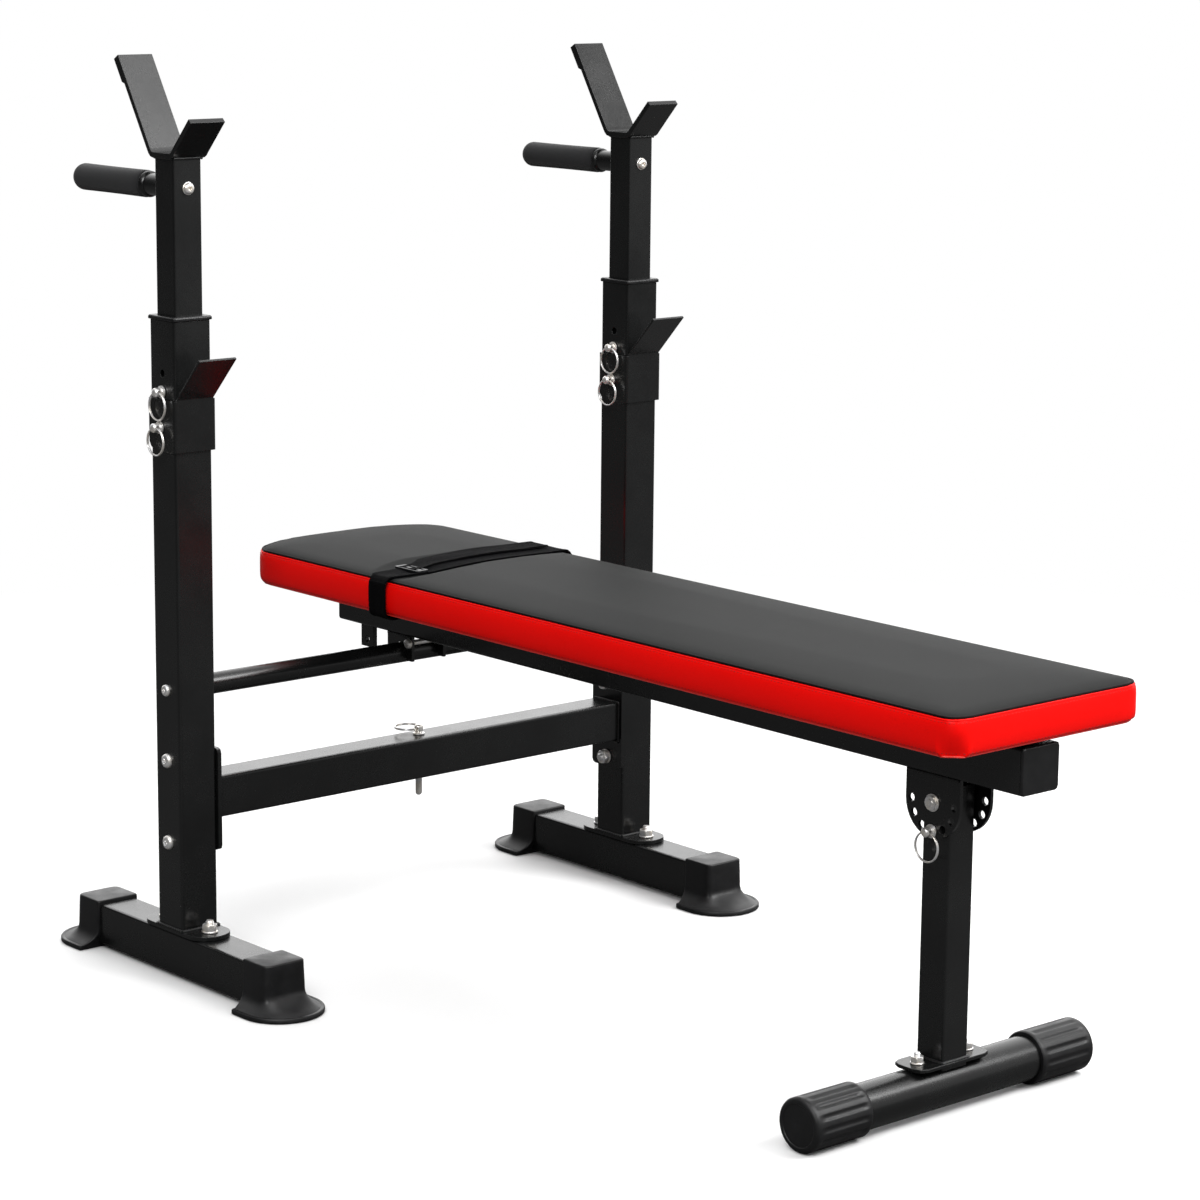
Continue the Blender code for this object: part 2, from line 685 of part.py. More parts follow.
def rail_cap(name, end):
    """Plastic plug in an end of the underframe tube."""
    y = RAIL_Y[0] if end < 0 else RAIL_Y[1]
    z = sum(RAIL_Z) / 2
    high = (RAIL_Z[1] - RAIL_Z[0]) / 2
    levels = ((2.6, -18.0), (2.3, end * 0.0 + GAP), (0.0, GAP), (0.0, 2.2), (1.4, 3.4))
    rings = []
    for inset, out in levels:
        line = rounded(high - inset, RAIL_HALF - inset, 4.0 if inset < 2 else 2.0, (z, 0))
        rings.append([(v, y + end * out, u) for u, v in line])
    return loft(name, rings, PLASTIC, at=BENCH_AT)


def leg():
    """Front leg with its foot plate, folding about the pivot bolt."""
    made = box_tube("leg", POST, POST, POST_WALL, "Z", *LEG_Z, STEEL, centre=(0, PIVOT_Y), at=LEG_AT, radius=3.0)
    plate = prism("leg_plate", rounded(54.0, 22.0, 12.0, (0, PIVOT_Y)), "Z", 54.5, 58.5)
    join(made, plate)
    tools = [rod("leg_pivot_hole", 5.4, "X", (0, PIVOT_Y, PIVOT_Z), -40, 40)]
    tools.append(rod("leg_lock_hole", HOLE_R, "X", (0, PIVOT_Y, PIVOT_Z - INDEX_R), -40, 40))
    tools += [rod(f"leg_plate_hole_{s + 1}", 4.4, "Z", (s * 37.0, PIVOT_Y, 0), 45, 70) for s in (-1, 1)]
    tools.append(rod("leg_scallop", STAB_R + GAP, "X", (0, PIVOT_Y, STAB_Z), -60, 60, sides=32))
    return cut(made, *tools)


def stabiliser():
    reach = STAB_CAP[1] - 6.0
    loop = [(STAB_R, -reach), (STAB_R, reach), (STAB_R - 2.0, reach), (STAB_R - 2.0, -reach)]
    made = ring_lathe("stabiliser", loop, "X", (0, PIVOT_Y, STAB_Z), STEEL, LEG_AT)
    tools = [rod(f"stabiliser_hole_{s + 1}", 4.4, "Z", (s * 37.0, PIVOT_Y, 0), 0, 70) for s in (-1, 1)]
    return cut(made, *tools)


def stabiliser_cap(side):
    """Rubber cap with grip flutes along its barrel."""
    label = f"stabiliser_cap_{side_name(side)}"
    low, high = STAB_CAP
    bore, radius, sides = STAB_R + 1.0, STAB_Z / math.cos(math.pi / 42), 42
    loop = [
        (1.0, high - 5.5, 0), (bore, high - 5.5, 0), (bore, low, 0), (radius - 1.5, low, 0), (radius, low + 2, 0),
        (radius, low + 10, 0), (radius, low + 13, 1.6), (radius, high - 13, 1.6), (radius, high - 10, 0),
        (radius, high - 3, 0), (radius - 3, high, 0), (1.0, high, 0),
    ]
    rings = []
    for r, h, deep in loop:
        ring = []
        for k in range(sides):
            a = 2 * math.pi * (k + 0.5) / sides
            q = r - deep * (k % 3 == 0)
            ring.append((side * h, PIVOT_Y + q * math.cos(a), STAB_Z + q * math.sin(a)))
        rings.append(ring)
    made = loft(label, rings, RUBBER, LEG_AT)
    return made


def leg_bolt(side):
    """Bolt through the stabiliser and the leg's foot plate, nut on top."""
    label = f"leg_bolt_{side_name(side)}"
    x = side * 37.0
    profile = ((0, 8.0), (7.5, 8.0), (7.5, 12.0), (3.9, 12.0), (3.9, 70.0), (3.2, 71.0), (0, 71.0))
    made = lathe(label, profile, "Z", (x, PIVOT_Y, 0), ZINC, LEG_AT)
    nut = rod(label + "_nut", 7.5, "Z", (x, PIVOT_Y, 0), 58.8, 66.0, sides=6)
    return join(made, nut)


def pivot_bolt():
    outer = EAR_X[1] + GAP
    return button_bolt("pivot_bolt", -outer, outer, PIVOT_Z, shank=4.9, head=9.0, y=PIVOT_Y)


def saddle_bolt():
    """Keeper bolt under the crossbar, from one saddle plate to the other."""
    outer = 26.0 + GAP
    return button_bolt("saddle_bolt", -outer, outer, SADDLE_BOLT[1], shank=2.9, head=6.0, y=SADDLE_BOLT[0])


def strap_path():
    """Points round the pad and board as (x, z, outward x, outward z, low y, high y)."""
    arc = 8.2
    cx, top, low = PAD_HALF - 7.0, PAD_Z[1] - 7.0, PAD_Z[0] + 7.0
    line = []
    for a, y0, y1 in ((0, -127, -97), (45, -128, -91), (90, -127, -84)):
        c, s = math.cos(math.radians(a)), math.sin(math.radians(a))
        line.append((-cx - arc * c, top + arc * s, -c, s, y0, y1))
    for x, y0, y1 in ((-100, -126, -84), (-40, -124, -74), (30, -121, -68), (90, -119, -66)):
        line.append((x, top + arc, 0, 1, y0, y1))
    for a, y0, y1 in ((90, -118, -68), (45, -118, -70), (0, -118, -72)):
        c, s = math.cos(math.radians(a)), math.sin(math.radians(a))
        line.append((cx + arc * c, top + arc * s, c, s, y0, y1))
    for a, y0, y1 in ((0, -118, -74), (-45, -118, -76), (-80, -118, -80)):
        c, s = math.cos(math.radians(a)), math.sin(math.radians(a))
        line.append((cx + arc * c, low + arc * s, c, s, y0, y1))
    under = RAIL_Z[1] + 2.9
    for x, y0, y1 in ((131.5, -118, -82), (110, -118, -83), (30, -119, -86), (-30, -121, -89), (-110, -125, -93)):
        line.append((x, under, 0, -1, y0, y1))
    line.append((-131.5, under, 0, -1, -127, -96))
    for a in (-80, -45, 0):
        c, s = math.cos(math.radians(a)), math.sin(math.radians(a))
        line.append((-cx - arc * c, low + arc * s, -c, s, -127, -97))
    return line


def strap():
    """Webbing band round the pad and its board: wide on top, gathered on the near side."""
    rings = []
    for x, z, nx, nz, y0, y1 in strap_path():
        far_x, far_z = x + nx * STRAP_T, z + nz * STRAP_T
        rings.append([(x, y0, z), (x, y1, z), (far_x, y1, far_z), (far_x, y0, far_z)])
    return loft("strap", rings, WEBBING, at=BENCH_AT, closed=True)


def buckle():
    """Flat slider buckle on the strap."""
    low = PAD_Z[1] + 1.2 + STRAP_T + 0.4
    made = prism("strap_buckle", rounded(9.0, 22.0, 3.0, (-88.0, -103.0)), "Z", low, low + 2.6, ZINC, at=BENCH_AT)
    tools = [block(f"buckle_slot_{n}", (x - 2.2, x + 2.2), (-120, -86), (low - 5, low + 9)) for n, x in enumerate((-92.5, -83.5))]
    return cut(made, *tools)


# ---------------------------------------------------------------- build


def build_rack():
    for side in (-1, 1):
        foot(side)
        for end in (-1, 1):
            boot(side, end)
            flange_bolt(side, end)
        upright(side)
        collar(side)
        catch(side)
        crossbar_bolt(side)
        inner = side * (SPREAD - TUBE - 2 * GAP - 5.0)
        for n, z in enumerate(BEAM_BOLT_Z):
            label = f"beam_bolt_{side_name(side)}_{'lower' if n == 0 else 'upper'}"
            button_bolt(label, side * (SPREAD + TUBE + GAP), inner, z)
    crossbeam()
    crossbar()


def build_posts():
    for side in (-1, 1):
        post(side)
        handle(side)
        handle_bolt(side)
        grip(side)
        for level in (0, 1):
            upright_pin(side, level)
    beam_pin()


def build_bench():
    pad()
    pad_board()
    rail()
    rail_cap("underframe_cap_front", -1)
    rail_cap("underframe_cap_rear", 1)
    leg()
    stabiliser()
    for side in (-1, 1):
        stabiliser_cap(side)
        leg_bolt(side)
    pivot_bolt()
    saddle_bolt()
    leg_pin()
    strap()
    buckle()


clear_scene()
PARTS = collection("bench_press_rack")
TOOLS = collection("tools", helper=True)
build_rack()
build_posts()
build_bench()
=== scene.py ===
import json
import math

import bmesh
import bpy
import numpy as np
from mathutils import Matrix, Vector
from mathutils.bvhtree import BVHTree

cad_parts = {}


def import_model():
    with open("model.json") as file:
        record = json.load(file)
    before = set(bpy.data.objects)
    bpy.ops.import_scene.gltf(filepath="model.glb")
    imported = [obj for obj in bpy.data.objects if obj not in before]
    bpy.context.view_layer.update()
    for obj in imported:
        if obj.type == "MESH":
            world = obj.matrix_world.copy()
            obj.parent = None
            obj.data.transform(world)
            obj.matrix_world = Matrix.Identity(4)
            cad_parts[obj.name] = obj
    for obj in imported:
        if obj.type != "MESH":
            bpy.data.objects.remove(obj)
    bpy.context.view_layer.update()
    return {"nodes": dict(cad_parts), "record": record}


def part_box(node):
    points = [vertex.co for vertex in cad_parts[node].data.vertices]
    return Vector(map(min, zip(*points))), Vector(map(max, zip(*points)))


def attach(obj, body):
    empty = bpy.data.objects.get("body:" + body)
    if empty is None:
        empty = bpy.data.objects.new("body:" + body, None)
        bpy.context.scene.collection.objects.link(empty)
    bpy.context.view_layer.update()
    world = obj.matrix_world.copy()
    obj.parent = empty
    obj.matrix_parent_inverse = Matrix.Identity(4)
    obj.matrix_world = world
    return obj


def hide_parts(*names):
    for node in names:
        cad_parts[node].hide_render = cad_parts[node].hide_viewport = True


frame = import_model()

NODES = frame["nodes"]
BODY_OF = {n: b for b, ns in frame["record"]["behaviour"]["bodies"].items() for n in ns}
MM = 0.001
SIDES = (("left", -1), ("right", 1))


# --- materials


class Graph:
    """Short calls for building the nodes of a material, or of the world."""

    def __init__(self, name, owner=None):
        self.mat = owner or bpy.data.materials.new(name)
        self.mat.use_nodes = True
        self.tree = self.mat.node_tree
        self.shader = self.tree.nodes.get("Principled BSDF")
        self.coord = self.tree.nodes.new("ShaderNodeTexCoord")

    def put(self, socket, value):
        if isinstance(value, bpy.types.NodeSocket):
            self.tree.links.new(value, socket)
        elif value is not None:
            socket.default_value = value

    def set(self, **values):
        for key, value in values.items():
            self.put(self.shader.inputs[key.replace("_", " ")], value)

    def node(self, kind, out=0, **settings):
        made = self.tree.nodes.new("ShaderNode" + kind)
        for key, value in settings.items():
            if key.startswith("in_"):
                where = key[3:]
                self.put(made.inputs[int(where) if where.isdigit() else where.replace("_", " ")], value)
            else:
                setattr(made, key, value)
        return made.outputs[out]

    def at(self, stretch=(1, 1, 1), uv=False):
        source = self.coord.outputs["UV" if uv else "Object"]
        return self.node("Mapping", in_Vector=source, in_Scale=stretch)

    def noise(self, scale, detail=3.0, rough=0.5, stretch=(1, 1, 1)):
        place = self.at(stretch)
        return self.node("TexNoise", in_Vector=place, in_Scale=scale, in_Detail=detail, in_Roughness=rough)

    def span(self, value, a, b, low, high):
        return self.node("MapRange", in_0=value, in_1=a, in_2=b, in_3=low, in_4=high)

    def math(self, kind, a, b=None):
        return self.node("Math", operation=kind, in_0=a, in_1=b)

    def mix(self, factor, a, b):
        made = self.tree.nodes.new("ShaderNodeMix")
        made.data_type = "RGBA"
        self.put(made.inputs[0], factor)
        self.put(made.inputs[6], a)
        self.put(made.inputs[7], b)
        return made.outputs[2]

    def bump(self, height, strength, distance, under=None):
        deep = distance * MM
        return self.node("Bump", in_Height=height, in_Strength=strength, in_Distance=deep, in_Normal=under)

    def edge(self, radius):
        """(rounded normal, mask that is 1 along sharp edges)"""
        rounded = self.node("Bevel", samples=4, in_Radius=radius * MM)
        flat = self.node("NewGeometry", out=1)
        dot = self.node("VectorMath", out=1, operation="DOT_PRODUCT", in_0=rounded, in_1=flat)
        return rounded, self.span(dot, 0.80, 0.985, 1.0, 0.0)


def rgb(r, g, b):
    return (r, g, b, 1.0)


def clamp(value):
    return min(max(value, 0.0), 1.0)


BARE_EDGE = (0.028, 0.029, 0.030, 1.0)


def powder_coat(name, rough=(0.21, 0.30)):
    """Satin black powder coat with orange peel, patchy gloss and thin paint along the edges."""
    g = Graph(name)
    rounded, worn = g.edge(0.9)
    patches = g.noise(14.0, 4.0, 0.6)
    peel = g.noise(1150.0, 2.0, 0.45)
    dust = g.noise(260.0, 5.0, 0.7)
    base = (0.0042, 0.0044, 0.0044)
    tone = g.mix(g.span(patches, 0.3, 0.7, 0.0, 1.0), rgb(*base), rgb(*[c * 1.5 for c in base]))
    tone = g.mix(g.math("MULTIPLY", worn, g.span(dust, 0.42, 0.62, 0.15, 0.6)), tone, BARE_EDGE)
    uneven = g.math("ADD", g.math("MULTIPLY", patches, 0.6), g.math("MULTIPLY", dust, 0.4))
    g.set(
        Base_Color=tone, Roughness=g.span(uneven, 0.35, 0.65, *rough), Specular_IOR_Level=0.5,
        Normal=g.bump(peel, 0.22, 0.10, rounded),
    )
    return g.mat


def zinc(name):
    """Bright zinc plate with a faint yellow cast and fine dull scratches."""
    base = (0.95, 0.95, 0.96)
    g = Graph(name)
    rounded, worn = g.edge(0.5)
    cast = g.noise(90.0, 3.0)
    grain = g.noise(900.0, 4.0, 0.65, (1.0, 0.16, 1.0))
    warm = rgb(base[0] * 1.04, base[1] * 0.98, base[2] * 0.88)
    tone = g.mix(g.span(cast, 0.35, 0.65, 0.0, 1.0), rgb(*base), warm)
    tone = g.mix(g.span(grain, 0.5, 0.75, 0.0, 0.45), tone, rgb(*[c * 0.62 for c in base]))
    tone = g.mix(g.math("MULTIPLY", worn, 0.4), tone, rgb(*base))
    g.set(
        Base_Color=tone, Metallic=0.78, Roughness=g.span(grain, 0.3, 0.7, 0.24, 0.42),
        Normal=g.bump(grain, 0.15, 0.06, rounded),
    )
    return g.mat


def moulded(name, base, rough, grain, depth, gloss=0.4, radius=0.8):
    """Moulded rubber or plastic: spark-eroded stipple with scuffed edges."""
    g = Graph(name)
    rounded, worn = g.edge(radius)
    stipple = g.noise(grain, 3.0, 0.6)
    scuff = g.noise(55.0, 6.0, 0.72)
    tone = g.mix(g.span(scuff, 0.45, 0.75, 0.0, 1.0), rgb(*base), rgb(*[c * 1.9 for c in base]))
    tone = g.mix(g.math("MULTIPLY", worn, 0.35), tone, rgb(0.035, 0.035, 0.037))
    g.set(
        Base_Color=tone, Roughness=g.span(scuff, 0.3, 0.7, rough - 0.07, rough + 0.10),
        Specular_IOR_Level=gloss, Normal=g.bump(stipple, 0.35, depth, rounded),
    )
    return g.mat


def foam(name):
    """Closed-cell foam sleeve: small open cells in a matt black skin."""
    g = Graph(name)
    cells = g.node("TexVoronoi", in_Vector=g.at(), in_Scale=620.0)
    fine = g.noise(1500.0, 3.0, 0.7)
    height = g.math("ADD", g.span(cells, 0.0, 0.5, 0.0, 1.0), g.math("MULTIPLY", fine, 0.6))
    # The hollows of the open cells are painted darker: painted shade in the cells.
    tone = g.mix(g.span(cells, 0.05, 0.4, 0.0, 1.0), rgb(0.006, 0.006, 0.006), rgb(0.017, 0.017, 0.018))
    g.set(
        Base_Color=tone, Roughness=0.86, Specular_IOR_Level=0.28, Sheen_Weight=0.12, Sheen_Roughness=0.5,
        Normal=g.bump(height, 0.5, 0.35),
    )
    return g.mat


def vinyl(name, base, dark, rough, gloss, wrinkle):
    """Upholstery vinyl: fine pebble grain, faint long wrinkles and a slow change of tone."""
    g = Graph(name)
    pebble = g.node("TexVoronoi", feature="DISTANCE_TO_EDGE", in_Vector=g.at(), in_Scale=760.0)
    crease = g.noise(38.0, 5.0, 0.62, (1.0, 0.5, 1.0))
    slow = g.noise(6.0, 3.0, 0.5)
    tone = g.mix(g.span(slow, 0.3, 0.7, 0.0, 0.8), rgb(*base), rgb(*dark))
    # The furrows between the pebbles are painted darker: painted shade in the grain.
    tone = g.mix(g.span(pebble, 0.0, 0.09, 0.32, 0.0), tone, rgb(*[c * 0.45 for c in base]))
    grain = g.bump(g.span(pebble, 0.0, 0.14, 0.0, 1.0), 0.22, 0.12)
    g.set(
        Base_Color=tone, Roughness=g.span(crease, 0.3, 0.7, rough - wrinkle * 0.6, rough + wrinkle * 0.6),
        Specular_IOR_Level=gloss, Normal=g.bump(crease, wrinkle, 0.9, grain),
    )
    return g.mat


def webbing(name):
    """Woven polyester strap: ribs across, warp lines along, slightly fuzzy."""
    g = Graph(name)
    uv = g.at(uv=True)
    across = g.node("TexWave", out=1, bands_direction="X", in_Vector=uv, in_Scale=190.0, in_Distortion=0.4)
    along = g.node("TexWave", out=1, bands_direction="Y", in_Vector=uv, in_Scale=330.0, in_Distortion=0.25)
    weave = g.math("MULTIPLY", across, along)
    fuzz = g.noise(1300.0, 2.0)
    # The raised weave is painted lighter and its hollows darker: painted highlight and shade on the weave.
    tone = g.mix(weave, rgb(0.0014, 0.0014, 0.0017), rgb(0.0046, 0.0046, 0.005))
    g.set(
        Base_Color=tone, Roughness=0.9, Specular_IOR_Level=0.05,
        Normal=g.bump(g.math("ADD", weave, g.math("MULTIPLY", fuzz, 0.35)), 0.55, 0.4),
    )
    return g.mat


def dust_cloth(name):
    """Black non-woven backing: pressed fibres with a grid of small welded dots."""
    g = Graph(name)
    fibre = g.noise(420.0, 6.0, 0.75, (1.0, 3.0, 1.0))
    dots = g.node("TexVoronoi", in_Vector=g.at(), in_Scale=330.0, in_Randomness=0.15)
    pressed = g.span(dots, 0.12, 0.3, 0.0, 1.0)
    tone = g.mix(fibre, rgb(0.006, 0.006, 0.006), rgb(0.022, 0.022, 0.022))
    g.set(
        Base_Color=g.mix(pressed, rgb(0.005, 0.005, 0.005), tone), Roughness=0.9, Sheen_Weight=0.15,
        Normal=g.bump(g.math("ADD", pressed, fibre), 0.4, 0.25),
    )
    return g.mat


COAT = powder_coat("black_powder_coat")
COAT_WELD = powder_coat("painted_weld", rough=(0.30, 0.48))
ZINC = zinc("zinc_plate")
DARK_ZINC = moulded("black_zinc_plate", (0.0070, 0.0070, 0.0078), 0.38, 1400.0, 0.05, 0.35, 0.4)
RUBBER = moulded("moulded_rubber", (0.0048, 0.0048, 0.0052), 0.42, 700.0, 0.18, 0.42)
PLASTIC = moulded("moulded_plastic", (0.0042, 0.0042, 0.0046), 0.33, 1100.0, 0.08, 0.45, 0.5)
FOAM = foam("foam_grip")
TOP_VINYL = vinyl("grey_vinyl", (0.018, 0.0184, 0.018), (0.0165, 0.017, 0.017), 0.62, 0.05, 0.012)
RED_VINYL = vinyl("red_vinyl", (1.0, 0.0035, 0.002), (0.94, 0.003, 0.002), 0.40, 0.11, 0.05)
DARK_SEAM = vinyl("seam_binding", (0.006, 0.003, 0.003), (0.004, 0.003, 0.003), 0.60, 0.08, 0.05)
# The lower piping is a real cord. Its lighter, pinker red than the red vinyl is a painted highlight along the
# pad's lower edge.
RED_CORD_PAINTED_HIGHLIGHT = vinyl("red_piping_painted_highlight", (0.86, 0.045, 0.035), (0.70, 0.02, 0.015), 0.34, 0.45, 0.05)
THREAD = moulded("stitch_thread", (0.30, 0.012, 0.010), 0.6, 1500.0, 0.05, 0.3, 0.2)
WEB = webbing("webbing")
BACKING = dust_cloth("dust_cloth")


# --- mesh helpers


def solid(name, points, faces, mat, smooth=38.0):
    """Closed mesh object from points in millimetres; edges sharper than smooth degrees stay crisp."""
    mesh = bpy.data.meshes.new(name)
    mesh.from_pydata([tuple(c * MM for c in p) for p in points], [], faces)
    return finish_mesh(name, mesh, mat, smooth)


def finish_mesh(name, mesh, mat, smooth=38.0):
    """Object with outward faces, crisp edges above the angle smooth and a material."""
    work = bmesh.new()
    work.from_mesh(mesh)
    bmesh.ops.recalc_face_normals(work, faces=work.faces)
    limit = math.radians(smooth)
    for f in work.faces:
        f.smooth = True
    for e in work.edges:
        e.smooth = not (len(e.link_faces) == 2 and e.calc_face_angle(0.0) > limit)
    work.to_mesh(mesh)
    work.free()
    mesh.materials.clear()
    mesh.materials.append(mat)
    obj = bpy.data.objects.new(name, mesh)
    bpy.context.scene.collection.objects.link(obj)
    return obj


def stand_for(obj, node):
    """The object takes the place of a CAD node and moves with its body."""
    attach(obj, BODY_OF[node])
    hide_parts(node)


def baked(obj):
    """The object's mesh with its modifiers applied."""
    graph = bpy.context.evaluated_depsgraph_get()
    mesh = bpy.data.meshes.new_from_object(obj.evaluated_get(graph))
    obj.modifiers.clear()
    obj.data = mesh
    return mesh


def turn(p, axis):
    """A point made round Z, turned so that the axis is X, Y or Z."""
    x, y, z = p
    return {"X": (z, x, y), "Y": (y, z, x), "Z": (x, y, z)}[axis]


def shift(p, by):
    return (p[0] + by[0], p[1] + by[1], p[2] + by[2])


def skin(rings, closed=False):
    """Points and faces that join equal rings, with a fan on each end unless closed."""
    count = len(rings[0])
    points = [p for ring in rings for p in ring]
    faces = []
    for i in range(len(rings) if closed else len(rings) - 1):
        here, there = i * count, (i + 1) % len(rings) * count
        for k in range(count):
            n = (k + 1) % count
            faces.append((here + k, here + n, there + n, there + k))
    if not closed:
        for start in (0, len(points) - count):
            mid = tuple(sum(points[start + k][c] for k in range(count)) / count for c in range(3))
            points.append(mid)
            faces += [(start + k, start + (k + 1) % count, len(points) - 1) for k in range(count)]
    return points, faces


def merge(*shells):
    """Several shells as the points and faces of one."""
    points, faces = [], []
    for p, f in shells:
        base = len(points)
        points += p
        faces += [tuple(i + base for i in face) for face in f]
    return points, faces


def angles(count):
    return [2 * math.pi * k / count for k in range(count)]


def lathe(profile, axis, centre, sides=48, shape=None):
    """Turned shell from (radius, height) pairs. shape(angle, radius, height) can vary the radius."""
    rings = []
    for radius, height in profile:
        ring = []
        for a in angles(sides):
            r = shape(a, radius, height) if shape else radius
            ring.append(shift(turn((r * math.cos(a), r * math.sin(a), height), axis), centre))
        rings.append(ring)
    return skin(rings)


def hex_radius(flat, a):
    """Radius of a hexagon of this half width across flats, at an angle."""
    step = math.pi / 3
    return flat / math.cos((a % step) - step / 2)


def hex_nut(flat, low, high, axis, centre, twist=0.0):
    """Hexagonal nut, half its width across flats given, with corners chamfered at both ends."""
    end, full, chamfer = flat * 1.06 * 0.97, flat * 1.155, 0.9

    def shape(a, radius, height):
        return min(hex_radius(flat, a + twist), radius)

    s = 1 if high > low else -1
    profile = [(end, low), (full, low + s * chamfer), (full, high - s * chamfer), (end, high)]
    return lathe(profile, axis, centre, 72, shape)


def button_head(radius, height, socket, low, axis, centre, out=1):
    """Round head with a hexagonal recess, standing out from low."""
    profile = [(radius, 0.0), (radius, height * 0.16)]
    for k in range(1, 7):
        a = math.radians(15 * k)
        inward = (radius - socket * 1.35) * (1 - math.cos(a))
        profile.append((radius - inward, height * (0.16 + 0.84 * math.sin(a))))
    profile += [(socket * 1.05, height), (socket, height - 0.25), (socket, height * 0.35)]
    profile += [(socket * 0.5, height * 0.22)]

    def shape(a, r, h):
        """The three levels close to the socket's width are hexagons."""
        return hex_radius(r, a) if abs(r - socket) < socket * 0.1 else r

    return lathe([(r, low + out * h) for r, h in profile], axis, centre, 72, shape)


def thread(radius, low, high, axis, centre):
    """Screw end with its crests and a chamfered tip."""
    pitch = 1.5
    count = max(int(abs(high - low) / pitch), 1)
    s = 1 if high > low else -1
    profile = [(radius, low)]
    for k in range(count):
        h = low + s * pitch * (k + 0.25)
        profile += [(radius, h), (radius - 0.75, h + s * pitch * 0.5)]
    profile += [(radius - 1.1, high)]
    return lathe(profile, axis, centre, 36)


def disc(radius, low, high, axis, centre, soft=0.3):
    """Washer or short bar with softened rims."""
    s = 1 if high > low else -1
    rim = radius - soft
    profile = [(rim, low), (radius, low + s * soft), (radius, high - s * soft), (rim, high)]
    return lathe(profile, axis, centre, 56)


def torus(centre, u, v, radius, wire):
    """Ring of round wire in the plane of two directions."""
    u, v = Vector(u).normalized(), Vector(v).normalized()
    w = u.cross(v)
    rings = []
    for a in angles(72):
        out = u * math.sin(a) + v * math.cos(a)
        rings.append([
            tuple(Vector(centre) + out * (radius + wire * math.cos(b)) + w * wire * math.sin(b))
            for b in angles(16)
        ])
    return skin(rings, closed=True)


def tube_line(path, radius, closed=False, sides=10, swell=None):
    """Round cord along points in mm. swell(i) scales the radius at each point."""
    points = [Vector(p) for p in path]
    count = len(points)
    rings = []
    normal = None
    for i, p in enumerate(points):
        before = points[(i - 1) % count] if closed or i else p
        after = points[(i + 1) % count] if closed or i < count - 1 else p
        ahead = (after - before).normalized()
        if normal is None:
            normal = ahead.orthogonal().normalized()
        normal = (normal - ahead * normal.dot(ahead)).normalized()
        side = ahead.cross(normal)
        r = radius * (swell(i) if swell else 1.0)
        rings.append([
            tuple(p + (normal * math.cos(b) + side * math.sin(b)) * r) for b in angles(sides)
        ])
    return skin(rings, closed)


def refine(node, width=0.7, mat=None):
    """A copy of a CAD node whose edges sharper than 25 degrees are rounded over, as the real edges are."""
    mesh = NODES[node].data.copy()
    work = bmesh.new()
    work.from_mesh(mesh)
    bmesh.ops.remove_doubles(work, verts=work.verts, dist=2e-6)
    bmesh.ops.dissolve_limit(
        work, angle_limit=math.radians(0.6), verts=work.verts, edges=work.edges, use_dissolve_boundaries=False
    )
    limit = math.radians(25)
    sharp = [e for e in work.edges if len(e.link_faces) == 2 and e.calc_face_angle(0.0) > limit]
    bmesh.ops.bevel(
        work, geom=sharp, offset=width * MM, offset_type="OFFSET", segments=2, profile=0.5,
        affect="EDGES", clamp_overlap=True,
    )
    work.to_mesh(mesh)
    work.free()
    made = finish_mesh(node + "_shape", mesh, mat or COAT, 50)
    # Large flat faces keep a flat normal, so that the shading doesn't fan out from their holes.
    weigh = made.modifiers.new("weigh", "WEIGHTED_NORMAL")
    weigh.weight, weigh.keep_sharp = 100, True
    baked(made).name = made.name
    stand_for(made, node)


def corner(node):
    """The low and high corners of a CAD node's box, in mm."""
    low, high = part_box(node)
    return low / MM, high / MM


def middle(node):
    low, high = corner(node)
    return (low + high) / 2


def line_of(node, axis):
    """A turned node's low and high corners, and a point of its axis with 0 along it."""
    low, high = corner(node)
    at = (low + high) / 2
    at["XYZ".index(axis)] = 0.0
    return low, high, at


# --- frame pieces


def frame_steel():
    """The pieces whose CAD shape only needs rounded edges."""
    for node in ("crossbeam", "leg", "underframe"):
        refine(node)
    for word, _ in SIDES:
        for kind in ("foot", "upright", "post", "catch"):
            refine(f"{kind}_{word}")
        refine(f"collar_{word}", 0.6, PLASTIC)
    refine("underframe_cap_front", 0.5, PLASTIC)
    refine("underframe_cap_rear", 0.5, PLASTIC)
    refine("strap_buckle", 0.5, DARK_ZINC)
    refine("pad_board", 1.2, BACKING)


def round_tube(node, sides):
    """Tube along X whose cut ends have a 1 mm chamfer."""
    low, high = corner(node)
    mid, r = (low + high) / 2, (high.z - low.z) / 2
    reach = (high.x - low.x) / 2
    profile = [(r - 1.0, -reach), (r, -reach + 1.0), (r, reach - 1.0), (r - 1.0, reach)]
    stand_for(solid(node + "_tube", *lathe(profile, "X", mid, sides), COAT), node)
    return mid, r


BOOT_BACK = 148.0


def boot_line(half, back, centre, reach, soft, z, x, y0, end, boxy):
    """One level of a boot. boxy 1 gives a square front, 0 a half-round one."""
    line = []
    for k in range(9):
        a = math.radians(90 * k / 8)
        line.append((half - soft + soft * math.sin(a), back - soft + soft * math.cos(a)))
    power = 2.0 + 5.5 * boxy ** 1.5
    for k in range(49):
        a = math.pi * k / 48
        c, s = math.cos(a), math.sin(a)
        grow = (abs(c) ** power + abs(s) ** power) ** (-1 / power)
        line.append((half * grow * c, centre - reach * grow * s))
    for k in range(9):
        a = math.radians(90 - 90 * k / 8)
        line.append((-half + soft - soft * math.sin(a), back - soft + soft * math.cos(a)))
    return [(x + u, y0 + end * v, z) for u, v in line]


